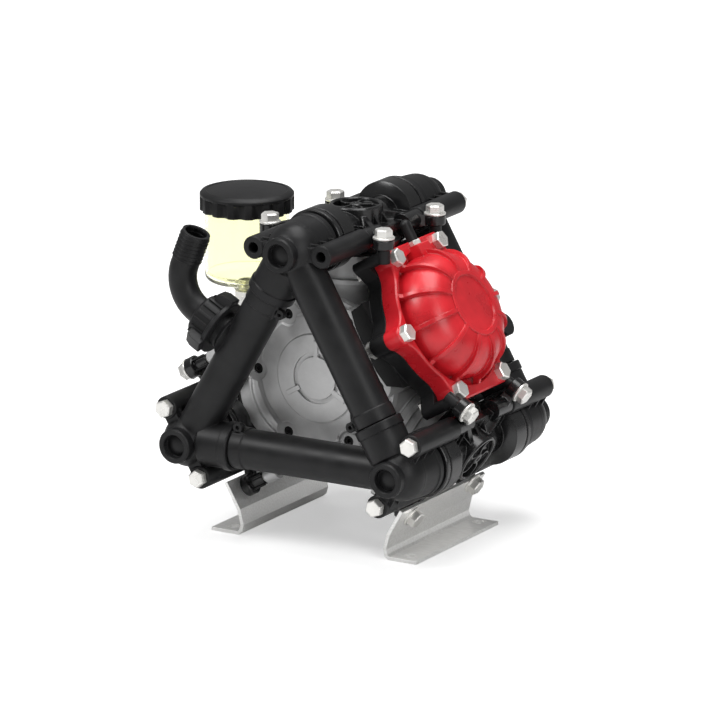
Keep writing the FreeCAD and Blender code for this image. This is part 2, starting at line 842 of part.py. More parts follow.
def manifold_corner():
    """One moulding: the elbow on a head, its long tube and the socket for its neighbour's tube."""
    middle = Vector(0, -manifold_plane, port_circle)
    solid = [Part.makeSphere(elbow_radius, middle)]
    barrel_end = collar_end + barrel_gap
    solid.append(Part.makeCone(elbow_radius, barrel_end_radius, manifold_plane - barrel_end, middle, Y))
    solid.append(cylinder(port_radius, port_face - manifold_plane, middle, -Y))
    for side in (-1, 1):
        front = Vector(side * manifold_bolt_offset, -manifold_boss_face, port_circle)
        solid.append(cylinder(manifold_boss_radius, manifold_boss_face - manifold_boss_end, front, Y))
        web_low = Vector(min(0, front.x), -manifold_boss_face, port_circle - manifold_web_half)
        web_high = Vector(max(0, front.x), -barrel_end, port_circle + manifold_web_half)
        solid.append(box(web_low, web_high))
    solid.append(run(tube_radius, 0, side_length - socket_end - seat_gap, 1))
    solid.append(run(tube_spigot_radius, 0, side_length - socket_depth, 1))
    solid.append(run(socket_radius, socket_start, socket_end, -1))
    lug = clip_lug()
    solid.append(cylinder(clip_radius, clip_thickness, lug, Y))
    whole = joined(solid)
    clearance = [cylinder(collar_radius + seat_gap, barrel_end, Y * -barrel_end + Z * port_circle, Y)]
    for across in (-head_bolt_front, -head_bolt_rear, head_bolt_rear, head_bolt_front):
        base = Vector(across, -head_bolt_axial, mouth_height)
        clearance.append(cylinder(washer_radius + seat_gap, port_circle, base, Z))
    whole = whole.cut(clearance)
    spigot = cylinder(collar_bore - 2 * running_gap, barrel_end - spigot_end,
                      Vector(0, -barrel_end, port_circle), Y)
    whole = joined([whole, spigot])
    hollow = [cylinder(tube_bore, manifold_plane - spigot_end, middle, Y)]
    hollow.append(cylinder(port_bore, port_face - manifold_plane, middle, -Y))
    hollow.append(Part.makeSphere(tube_bore, middle))
    hollow.append(run(tube_bore, 0, side_length - socket_depth, 1))
    hollow.append(run(tube_bore, 0, socket_depth, -1))
    hollow.append(run(tube_spigot_radius + running_gap, socket_depth - seat_gap, socket_end, -1))
    for side in (-1, 1):
        front = Vector(side * manifold_bolt_offset, -manifold_boss_face, port_circle)
        hollow.append(cylinder(bolt_radius + bolt_hole_gap, manifold_boss_face, front, Y))
    hollow.append(cylinder(clip_hole_radius, clip_thickness, lug, Y))
    return seamless(carved(whole, hollow))


def inlet_stub():
    """The stub on the side of the left front tube, with its bore into the tube."""
    middle = port_circle / 2
    base = Vector(0, -manifold_plane, middle)
    stub = cylinder(inlet_stub_radius, inlet_seat - middle, base, Z)
    bore = cylinder(barb_bore + 1, inlet_seat - middle, base, Z)
    return turned_to(stub, inlet_side), turned_to(bore, inlet_side)


def suction_corner(name):
    corner = at_station(manifold_corner(), stations[name])
    if name == "left":
        stub, bore = inlet_stub()
        bore_of_tube = at_station(run(tube_bore, 0, side_length - socket_depth, 1), stations[name])
        corner = joined([corner, lifted(stub).cut(bore_of_tube)]).cut(lifted(bore))
    return corner


def damper_feed_place():
    """Where the feed to the air chamber leaves the rear right-hand tube, along the chamber's axis."""
    return Vector(damper_feed_side, manifold_plane, port_circle / 2)


def damper_feed_height():
    return (damper_base_bottom + damper_split) / 2


def damper_branch():
    """The post on the rear right-hand tube that feeds the air chamber, and its bores."""
    base = damper_feed_place()
    rise = damper_feed_height() - base.z
    wall = damper_spigot_radius + 3.5
    post = cylinder(wall, rise + wall, base, Z)
    bore = cylinder(damper_spigot_radius - 2, rise, base, Z)
    cross = cylinder(damper_spigot_radius + running_gap, wall + 1, base + Z * rise, -Y)
    return [lifted(turned_to(piece, damper_side)) for piece in (post, bore, cross)]


def delivery_corner(name):
    """The same moulding mirrored to the back, where the top one also feeds the air chamber."""
    corner = at_station(mirrored_back(manifold_corner()), stations[name])
    if name == "top":
        post, bore, cross = damper_branch()
        rear_run = mirrored_back(run(tube_bore, 0, side_length - socket_depth, 1))
        post = post.cut(at_station(rear_run, stations[name]))
        corner = carved(joined([corner, post]), [bore, cross])
    return corner


def manifold_bolts():
    """The bolts of the manifold corners. The top front corner is drawn without its two."""
    bolts = []
    for name, angle in stations.items():
        for side in (-1, 1):
            bolt = hex_bolt(manifold_bolt_length, washer=False).rotated(centre, X, 90)
            bolt.translate(Vector(side * manifold_bolt_offset, -manifold_boss_face, port_circle))
            if name != "top":
                bolts.append(at_station(bolt, angle))
            bolts.append(at_station(mirrored_back(bolt), angle))
    return Part.makeCompound(bolts)


def port_plugs():
    """Blind plugs in the ports that aren't used: two at the front and two at the back."""
    plugs = []
    floor = Vector(0, -port_face + port_recess, port_circle)
    for name in ("top", "right"):
        plug = cylinder(port_bore - running_gap, port_recess, floor, Y)
        ring = tube(port_bore - 1, port_bore - 2.5, 1, floor - Y, Y)
        plug = joined([plug, ring])
        plugs.append(at_station(plug, stations[name]))
        plugs.append(at_station(mirrored_back(plug), stations[name]))
    return Part.makeCompound(plugs)


# Valves, built for the front of the top head: they open along +Y

def valve_length():
    return spigot_end - valve_pocket_start


def cage_shell():
    """A valve's seat, wall and guide bridge, with its seat face at height 0 and opening along +Z."""
    outer = collar_bore - running_gap
    length = valve_length() - seat_gap
    seat = tube(outer, valve_seat_bore, valve_seat_thickness, centre, Z)
    wall = tube(outer, outer - valve_cage_wall, length, centre, Z)
    hub = cylinder(valve_hub_radius, valve_seat_thickness, Z * (length - valve_seat_thickness), Z)
    parts = [seat, wall, hub]
    for turn in (0, 120, 240):
        bar = box(Vector(0, -valve_bar_width / 2, length - valve_seat_thickness),
                  Vector(outer - valve_cage_wall / 2, valve_bar_width / 2, length))
        parts.append(bar.rotated(centre, Z, turn))
    return joined(parts)


def valve_plate():
    boss = cylinder(valve_hub_radius - 1, valve_boss_height, Z * valve_plate_thickness, Z)
    plate = joined([cylinder(valve_plate_radius, valve_plate_thickness, centre, Z), boss])
    return plate.translated(Z * (valve_seat_thickness + running_gap))


def valve_spring():
    """A short wave of thin cones that pushes the plate onto its seat."""
    low = valve_seat_thickness + valve_plate_thickness + 2 * running_gap
    high = valve_length() - seat_gap - valve_seat_thickness - running_gap
    step = (high - low) / valve_spring_waves
    outer = valve_spring_radius - valve_spring_wall
    inner = valve_hub_radius - valve_spring_lap
    outline = []
    for number in range(valve_spring_waves + 1):
        outline.append((outer if number % 2 else inner, low + step * number))
    back = [(radius + valve_spring_wall, height) for radius, height in reversed(outline)]
    return revolved(outline + back)


def in_suction_pocket(shape):
    return shape.rotated(centre, X, -90).translated(Vector(0, -spigot_end, port_circle))


def in_delivery_pocket(shape):
    return shape.rotated(centre, X, -90).translated(Vector(0, valve_pocket_start, port_circle))


def valve_set(shape, pocket):
    return Part.makeCompound([at_station(pocket(shape), angle) for angle in stations.values()])


# Feet

def sheet_outline(points, thickness):
    """The closed outline of a bent sheet whose one side follows points in the XZ plane."""
    offsets = []
    for number, point in enumerate(points):
        before = points[max(number - 1, 0)]
        after = points[min(number + 1, len(points) - 1)]
        first = (point - before if number else after - point).normalize()
        second = (after - point if number < len(points) - 1 else point - before).normalize()
        normal_one = Vector(first.z, 0, -first.x)
        normal_two = Vector(second.z, 0, -second.x)
        bisector = normal_one + normal_two
        offsets.append(point + bisector * (thickness / (1 + normal_one.dot(normal_two))))
    return points + offsets[::-1]


def foot(side):
    """A bent sheet under two bolts of a lower head, with two holes for the floor bolts."""
    outward = Vector(math.cos(math.radians(foot_tilt)), 0, -math.sin(math.radians(foot_tilt)))
    down = Vector(outward.z, 0, -outward.x)
    crank = Z * shaft_height
    plate_top = crank + outward * head_bolt_seat + down * foot_plate_start
    plate_bottom = crank + outward * head_bolt_seat + down * foot_plate_end
    inner = [plate_top, plate_bottom, Vector(foot_bend_x, 0, foot_bend_height),
             Vector(foot_bend_x + 0.3 * foot_bend_run, 0, foot_bend_height / 3),
             Vector(foot_bend_x + foot_bend_run, 0, 0), Vector(foot_outer_x, 0, 0)]
    inner = inner[::-1]
    outline = sheet_outline(inner, foot_thickness_sheet)
    face = Part.Face(Part.makePolygon(outline + outline[:1]))
    sheet = face.extrude(Y * (foot_back - foot_front)).translated(Y * foot_front)
    holes = []
    for along in (-foot_hole_y, foot_hole_y):
        holes.append(cylinder(foot_hole_radius, 2 * foot_bend_height, Vector(foot_hole_x, along, -1), Z))
    for across, along in head_bolt_places():
        if across > 0:
            hole = cylinder(bolt_radius + bolt_hole_gap, port_circle, Vector(across, along, port_circle), Z)
            holes.append(at_station(hole, stations["right"]))
    sheet = sheet.cut(holes)
    return sheet if side > 0 else sheet.mirror(centre, X)


# Air chamber, built with its axis along Z from the crankshaft

def damper_places():
    step = 360 / damper_bolt_count
    return [polar(damper_bolt_circle, 90 + step * number) for number in range(damper_bolt_count)]


def damper_plate(bottom, top):
    height = top - bottom
    plate = [cylinder(damper_flange_radius, height, Z * bottom, Z)]
    for place in damper_places():
        plate.append(cylinder(damper_lobe_radius, height, place + Z * bottom, Z))
    return plate


def damper_bolt_holes():
    return [cylinder(bolt_radius + bolt_hole_gap, damper_seat, place, Z) for place in damper_places()]


def damper_surroundings():
    """The room that the crankcase and the heads need under the air chamber."""
    reach = barrel_half_length + 2 * cover_thickness
    room = [cylinder(barrel_radius + seat_gap, 2 * reach, Y * -reach, Y)]
    for end in (-1, 1):
        start = end * (barrel_half_length - rim_thickness - seat_gap)
        room.append(cylinder(rim_radius + seat_gap, rim_thickness + cover_thickness + 2, Y * start, Y * end))
    for place in cover_screw_places():
        lobe_room = cylinder(cover_lobe_radius + seat_gap, 2 * reach, Vector(place.x, -reach, place.y), Y)
        room.append(lobe_room.rotated(centre, Y, damper_side - 90))
    for side in (-1, 1):
        pieces = [cylinder(mouth_radius + seat_gap, mouth_height, centre, Z),
                  cylinder(mouth_radius + mouth_rib_depth + seat_gap, mouth_rib_width + 2 * seat_gap,
                           Z * (mouth_rib_height - seat_gap), Z),
                  cylinder(head_base_radius + seat_gap, head_base_height + 3, Z * mouth_height, Z)]
        room += [piece.rotated(centre, Y, 60 * side) for piece in pieces]
    for side, across, along in bracket_places():
        ear_bottom = head_bolt_seat - head_ear_height - seat_gap
        ear_room = cylinder(head_column_radius + 3, 2 * head_ear_height, Vector(across, along, ear_bottom), Z)
        room.append(ear_room.rotated(centre, Y, 60 * side))
    return room


def bracket_foot():
    """Height above the crankshaft at which the base's brackets meet the neighbouring heads' bolts."""
    return mouth_height + 3


def bracket_places():
    """The neighbouring head bolts beside the chamber, as tilted directions round its axis."""
    places = []
    for side in (-1, 1):
        for across, along in head_bolt_places():
            if across * side < 0:
                places.append((side, across, along))
    return places


def bracket_posts(gap):
    """A post and a slanted boss for each neighbouring bolt, grown by a gap."""
    posts = []
    top = head_bolt_seat - head_ear_height - seat_gap + gap
    for side, across, along in bracket_places():
        base = Vector(across, along, bracket_foot() - gap)
        boss = cylinder(head_column_radius + gap, top - base.z, base, Z).rotated(centre, Y, 60 * side)
        middle = boss.CenterOfMass
        foot = Vector(middle.x, middle.y, damper_base_bottom)
        posts += [boss, cylinder(damper_post_radius + gap, middle.z - damper_base_bottom, foot, Z)]
    return posts


def bracket_webs():
    webs = []
    for post in bracket_posts(0)[1::2]:
        middle = post.CenterOfMass
        web = box(Vector(0, -damper_post_radius, damper_base_bottom),
                  Vector(math.hypot(middle.x, middle.y), damper_post_radius, damper_split))
        webs.append(web.rotated(centre, Z, math.degrees(math.atan2(middle.y, middle.x))))
    return webs


def bracket_holes():
    holes = []
    for side, across, along in bracket_places():
        base = Vector(across, along, bracket_foot())
        holes.append(cylinder(bolt_radius, head_bolt_seat, base, Z).rotated(centre, Y, 60 * side))
    return holes


def damper_base():
    """The black half of the air chamber: a bowl on the crankcase with a feed from the delivery side."""
    floor = barrel_radius + 1
    bowl = revolved([(0, floor), (26, floor), (damper_flange_radius - 3, damper_base_bottom),
                     (damper_flange_radius - 3, damper_split), (0, damper_split)])
    edges = middle_box(2 * damper_edge_half_width, damper_bolt_circle, damper_base_bottom, damper_split)
    feed_end = Vector(damper_feed_side, damper_feed_place().y - 2, damper_feed_height())
    feed = cylinder(damper_spigot_radius, 40, feed_end, -Y)
    solid = joined(damper_plate(damper_base_bottom, damper_split) + [bowl, edges, feed]
                   + bracket_posts(0) + bracket_webs())
    cavity_floor = damper_base_bottom + 1
    cavity = revolved([(0, cavity_floor), (20, cavity_floor), (damper_dome_radius - 6, damper_split - 2),
                       (damper_dome_radius - 6, damper_split), (0, damper_split)])
    feed_bore = cylinder(damper_spigot_radius - 2, 55, feed_end, -Y)
    hollow = [cavity, feed_bore] + damper_bolt_holes() + bracket_holes() + damper_surroundings()
    return at_station(main_piece(carved(solid, hollow)), damper_side)


def main_piece(shape):
    """The largest solid, without any chips that a cut left loose."""
    return max(shape.Solids, key=lambda solid: solid.Volume)


def dome_outline(offset):
    """Radius and height along the dome, from its foot to its cap."""
    points = []
    foot = damper_dome_radius - offset
    cap = damper_cap_radius - offset / 2
    rise = damper_dome_top - damper_seat - offset
    steps = 8
    for number in range(steps + 1):
        turn = math.radians(90 * number / steps)
        radius = cap + (foot - cap) * math.cos(turn)
        points.append((radius, damper_seat + rise * math.sin(turn)))
    return points


def dome_ribs():
    shell = revolved([(0, damper_seat)] + dome_outline(-damper_rib_rise) + [(0, damper_dome_top)])
    ribs = []
    for number in range(damper_rib_count):
        blade = box(Vector(damper_cap_radius - 2, -damper_rib_width / 2, damper_seat - 1),
                    Vector(damper_flange_radius, damper_rib_width / 2, damper_dome_top))
        turn = 360 / damper_rib_count * (number + 0.5)
        ribs.append(blade.rotated(centre, Z, turn).common(shell))
    return ribs


def damper_cover():
    """The red half: a ribbed dome with a flat cap, and a wedge that holds the inflation valve."""
    dome = revolved([(0, damper_seat)] + dome_outline(0) + [(0, damper_dome_top)])
    cap = cylinder(damper_cap_radius, 3, Z * (damper_dome_top - 2), Z)
    wedge = box(Vector(-damper_flange_radius, -wedge_half_width, damper_split),
                Vector(-wedge_inner, wedge_half_width, damper_seat + wedge_rise))
    outer = joined(damper_plate(damper_split, damper_seat) + [dome, cap, wedge] + dome_ribs())
    inner = revolved([(0, damper_split), (damper_dome_radius - 6, damper_split)]
                     + dome_outline(damper_wall + 2) + [(0, damper_dome_top - damper_wall - 2)])
    recess_floor = Z * (damper_dome_top + 1 - damper_cap_recess)
    recess = cylinder(damper_cap_radius - 4, damper_cap_recess, recess_floor, Z)
    valve_hole = cylinder(air_valve_radius, 2 * air_valve_length, air_valve_seat(), X)
    neighbours = bracket_posts(2 * seat_gap) + damper_surroundings()
    whole = carved(outer, [inner, recess, valve_hole] + damper_bolt_holes() + neighbours)
    return at_station(main_piece(whole), damper_side)


def air_valve_seat():
    return Vector(-damper_flange_radius, 0, damper_seat + 1)


def air_valve():
    """The inflation valve: a hex body seated on the wedge, with a thin stem."""
    seat = air_valve_seat()
    body = hexagon(air_valve_hex, air_valve_hex_height, seat, -X)
    shank = cylinder(air_valve_radius - running_gap, air_valve_length, seat, X)
    stem = cylinder(air_valve_stem, air_valve_length, seat, -X)
    return at_station(joined([body, shank, stem]), damper_side)


def air_valve_cap():
    start = air_valve_seat() - X * (air_valve_hex_height + seat_gap)
    hollow = cylinder(valve_cap_bore, air_valve_length - air_valve_hex_height + 1, start, -X)
    shell = cylinder(valve_cap_radius, valve_cap_length, start, -X).cut(hollow)
    top = Part.makeSphere(valve_cap_radius, start - X * valve_cap_length)
    outside = cylinder(valve_cap_radius, 2 * valve_cap_radius, start - X * (valve_cap_length - 1), -X)
    return at_station(joined([shell, top.common(outside)]), damper_side)


def air_diaphragm():
    """The rubber disc clamped between the two halves, with its middle held by the button."""
    outer = damper_dome_radius - 6 - seat_gap
    bottom = Z * (damper_split - air_diaphragm_thickness / 2)
    ring = tube(outer, air_button_stud, air_diaphragm_thickness, bottom, Z)
    return at_station(ring, damper_side)


def air_button():
    bottom = damper_split - air_diaphragm_thickness / 2
    disc = cylinder(air_button_radius, air_button_thickness, Z * (bottom - air_button_thickness), Z)
    stud = cylinder(air_button_stud - running_gap, air_diaphragm_thickness, Z * bottom, Z)
    return at_station(joined([disc, stud]), damper_side)


def damper_bolts():
    bolts = []
    for place in damper_places():
        bolt = hex_bolt(damper_seat - damper_base_bottom + hex_height, washer=False)
        bolts.append(bolt.translated(place + Z * damper_seat))
    return at_station(Part.makeCompound(bolts), damper_side)


def damper_nuts():
    nuts = []
    for place in damper_places():
        nuts.append(hex_nut().translated(place + Z * (damper_base_bottom - hex_height)))
    return at_station(Part.makeCompound(nuts), damper_side)


# Oil tank

def oil_fitting():
    """The hex fitting between the crankcase's arm and the tank's neck."""
    bottom = tank_funnel_bottom - tank_fitting_height
    body = hexagon(2 * tank_neck_radius - 2, tank_fitting_height - 1, Z * bottom, Z)
    lower = cylinder(tank_fitting_radius - running_gap, tank_fitting_spigot,
                     Z * (bottom - tank_fitting_spigot), Z)
    upper = cylinder(tank_fitting_radius, tank_fitting_reach, Z * tank_funnel_bottom, Z)
    whole = joined([body, lower, upper, cylinder(tank_fitting_radius, 2, Z * (tank_funnel_bottom - 2), Z)])
    bore = cylinder(tank_fitting_radius - tank_fitting_wall, 4 * tank_fitting_height,
                    Z * (bottom - tank_fitting_height), Z)
    return lifted(whole.cut(bore).translated(X * tank_x))


def oil_tank():
    """The clear tank: a round wall, a funnel floor and a neck over the fitting."""
    wall = tank_wall
    outline = [(tank_fitting_radius + running_gap, tank_funnel_bottom),
               (tank_neck_radius, tank_funnel_bottom),
               (tank_neck_radius + 2, tank_funnel_bottom + 4),
               (tank_radius - 5, tank_bottom),
               (tank_radius, tank_bottom + 4),
               (tank_radius, tank_top),
               (tank_radius - wall, tank_top),
               (tank_radius - wall, tank_bottom + 5),
               (tank_radius - 7, tank_bottom + wall),
               (tank_fitting_radius + running_gap, tank_funnel_bottom + 9)]
    return lifted(revolved(outline).translated(X * tank_x))


def oil_tank_cap():
    """The screw cap with a scalloped grip."""
    outline = [(0, cap_top - cap_wall - 2), (tank_radius - tank_wall - 2, cap_top - cap_wall - 2),
               (tank_radius - tank_wall - 2, tank_top + seat_gap),
               (cap_radius - cap_wall, tank_top + seat_gap),
               (cap_radius - cap_wall, cap_bottom), (cap_radius, cap_bottom),
               (cap_radius, cap_top - 2), (cap_radius - 2, cap_top), (0, cap_top + cap_crown)]
    body = revolved(outline)
    scallops = []
    for number in range(cap_scallops):
        place = polar(cap_radius + cap_scallop_radius * 0.55, 360 / cap_scallops * number, cap_bottom)
        scallops.append(cylinder(cap_scallop_radius, cap_top - cap_bottom - 3, place, Z))
    return lifted(body.cut(scallops).translated(X * tank_x))


# Inlet

def at_inlet(shape):
    """Move a shape built along Z from the crankshaft out to the inlet's side and the front manifold."""
    return at_station(shape.translated(Y * -manifold_plane), inlet_side)


def inlet_gasket():
    ring = tube(inlet_stub_radius - 1, barb_bore + 1, gasket_thickness, Z * inlet_seat, Z)
    return at_inlet(ring)


def inlet_ring_nut():
    """The ring nut that clamps the hose elbow to the stub."""
    bottom = inlet_seat - nut_overlap
    hole = inlet_stub_radius + running_gap
    body = [cylinder(nut_body_radius, nut_length, Z * bottom, Z),
            cylinder(nut_flange_radius, nut_flange_thickness, Z * bottom, Z)]
    for number in range(nut_grip_count):
        rib = box(Vector(nut_body_radius - 1, -nut_grip_width / 2, bottom),
                  Vector(nut_body_radius + nut_grip_rise, nut_grip_width / 2, bottom + nut_length - 2))
        body.append(rib.rotated(centre, Z, 360 / nut_grip_count * number))
    for turn in (0, 120, 240):
        lug = box(Vector(nut_body_radius - 2, -nut_lug_width / 2, bottom),
                  Vector(nut_lug_reach, nut_lug_width / 2, bottom + nut_lug_height))
        body.append(lug.rotated(centre, Z, turn))
    hollow = cylinder(hole, nut_overlap + gasket_thickness + nut_overlap, Z * bottom, Z)
    neck = cylinder(barb_radius + seat_gap, nut_length, Z * bottom, Z)
    return at_inlet(joined(body).cut([hollow, neck]))


def inlet_elbow():
    """The hose elbow: a collar under the nut, one bend and a ribbed end for the hose."""
    start = inlet_seat + gasket_thickness
    turn_start = Z * (start + elbow_straight)
    outline = Part.Wire(Part.makeCircle(barb_radius, Z * start, Z))
    bend = math.radians(barb_turn)
    radius = barb_bend_radius
    middle = turn_start + X * radius
    half = middle + Vector(-radius * math.cos(bend / 2), 0, radius * math.sin(bend / 2))
    bend_end = middle + Vector(-radius * math.cos(bend), 0, radius * math.sin(bend))
    direction = Vector(math.sin(bend), 0, math.cos(bend))
    end = bend_end + direction * barb_length
    path = Part.Wire([Part.LineSegment(Z * start, turn_start).toShape(),
                      Part.Arc(turn_start, half, bend_end).toShape(),
                      Part.LineSegment(bend_end, end).toShape()])
    inner = Part.Wire(Part.makeCircle(barb_bore, Z * start, Z))
    body = path.makePipeShell([outline], True, False)
    hollow = path.makePipeShell([inner], True, False)
    collar = cylinder(inlet_stub_radius - seat_gap, elbow_collar_thickness, Z * start, Z)
    rings = []
    for number in range(barb_ring_count):
        place = end - direction * barb_ring_pitch * (number + 1)
        rings.append(Part.makeCone(barb_radius, barb_radius + barb_ring_rise, barb_ring_width, place,
                                   direction * -1))
    whole = joined([body, collar] + rings).cut(hollow)
    return at_inlet(whole)


def export(name, shape):
    shape.exportStep(os.path.join("parts", name + ".step"))


def main():
    os.makedirs("parts", exist_ok=True)
    export("crankcase", crankcase())
    export("crankcase_cover", crankcase_cover())
    export("rear_cover", rear_cover())
    export("cover_screws", cover_screws())
    export("front_bearing", bearing(-1))
    export("rear_bearing", bearing(1))
    export("shaft_seal", shaft_seal())
    export("crankshaft", crankshaft())
    export("eccentric_ring", eccentric_ring())
    for name, angle in stations.items():
        export("piston_" + name, piston(angle))
        export("piston_rod_" + name, piston_rod(angle))
        export("diaphragm_" + name, diaphragm(angle))
        export("head_" + name, at_station(head(name), angle))
        export("suction_corner_" + name, suction_corner(name))
        export("delivery_corner_" + name, delivery_corner(name))
        export("suction_valve_" + name, at_station(in_suction_pocket(valve_plate()), angle))
        export("delivery_valve_" + name, at_station(in_delivery_pocket(valve_plate()), angle))
    export("head_bolts", head_bolts())
    export("manifold_bolts", manifold_bolts())
    export("port_plugs", port_plugs())
    export("suction_valve_cages", valve_set(cage_shell(), in_suction_pocket))
    export("delivery_valve_cages", valve_set(cage_shell(), in_delivery_pocket))
    export("suction_valve_springs", valve_set(valve_spring(), in_suction_pocket))
    export("delivery_valve_springs", valve_set(valve_spring(), in_delivery_pocket))
    export("foot_left", foot(-1))
    export("foot_right", foot(1))
    export("air_chamber_base", damper_base())
    export("air_chamber_cover", damper_cover())
    export("air_chamber_bolts", damper_bolts())
    export("air_chamber_nuts", damper_nuts())
    export("air_diaphragm", air_diaphragm())
    export("air_diaphragm_button", air_button())
    export("air_valve", air_valve())
    export("air_valve_cap", air_valve_cap())
    export("oil_fitting", oil_fitting())
    export("oil_tank", oil_tank())
    export("oil_tank_cap", oil_tank_cap())
    export("inlet_gasket", inlet_gasket())
    export("inlet_ring_nut", inlet_ring_nut())
    export("inlet_elbow", inlet_elbow())


main()
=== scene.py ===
import json
import math

import bmesh
import bpy
from mathutils import Matrix, Vector


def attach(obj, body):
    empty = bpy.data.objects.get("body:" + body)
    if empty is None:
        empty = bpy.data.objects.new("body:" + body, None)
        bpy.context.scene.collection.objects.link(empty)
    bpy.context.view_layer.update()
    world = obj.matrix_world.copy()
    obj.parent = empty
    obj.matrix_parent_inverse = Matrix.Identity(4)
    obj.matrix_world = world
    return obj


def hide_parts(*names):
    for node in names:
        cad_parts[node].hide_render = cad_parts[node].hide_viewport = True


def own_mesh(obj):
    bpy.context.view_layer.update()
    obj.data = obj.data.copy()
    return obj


bl_info = {
    "name": "Diaphragm pump",
    "version": (1, 0, 0),
    "blender": (4, 5, 0),
    "location": "View3D > Sidebar > Pump",
    "description": "Dresses a packed diaphragm pump with finer forms, materials and a studio",
    "category": "Object",
}

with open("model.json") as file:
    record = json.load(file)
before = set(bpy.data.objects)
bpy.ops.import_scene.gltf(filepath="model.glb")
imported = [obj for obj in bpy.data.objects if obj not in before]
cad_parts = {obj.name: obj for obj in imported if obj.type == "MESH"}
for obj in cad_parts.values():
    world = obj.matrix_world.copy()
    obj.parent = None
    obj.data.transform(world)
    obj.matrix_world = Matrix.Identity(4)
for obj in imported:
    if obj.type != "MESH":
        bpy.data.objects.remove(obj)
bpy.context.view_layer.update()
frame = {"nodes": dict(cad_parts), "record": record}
NODES = frame["nodes"]

# Millimetres, as in the part's own layout
MM = 0.001
SHAFT_HEIGHT = 142.0
PORT_CIRCLE = 115.5
SIDE_LENGTH = PORT_CIRCLE * math.sqrt(3)
MANIFOLD_PLANE = 96.5
PORT_FACE = 123.6
STATIONS = {"top": 90.0, "left": 210.0, "right": 330.0}
CHAMBER_SIDE = 30.0
INLET_SIDE = 150.0
TO_BACK = Matrix.Diagonal((1, -1, 1, 1))

# Camera, fitted to the photograph
SENSOR = 36.0
LENS = 356.34
CAMERA_AZIMUTH = 30.7745
CAMERA_ELEVATION = 15.03
CAMERA_DISTANCE = 5.7014
CAMERA_TARGET = Vector((0.0774, -0.1236, 0.1821))


# Places

def station(angle):
    """From a frame whose Z is a direction round the crankshaft to the model's frame, in millimetres."""
    turn = Matrix.Rotation(math.radians(90.0 - angle), 4, "Y")
    return Matrix.Translation((0, 0, SHAFT_HEIGHT)) @ turn


def along(direction, place=(0, 0, 0)):
    """A frame at a place with its Z along a direction."""
    turn = Vector((0, 0, 1)).rotation_difference(Vector(direction))
    return Matrix.Translation(place) @ turn.to_matrix().to_4x4()


def arc(middle, radius, start, end, count):
    """Points of an arc in an outline, with angles in degrees from the outline's radius axis."""
    points = []
    for number in range(count + 1):
        angle = math.radians(start + (end - start) * number / count)
        points.append((middle[0] + radius * math.cos(angle), middle[1] + radius * math.sin(angle)))
    return points


# Mesh building

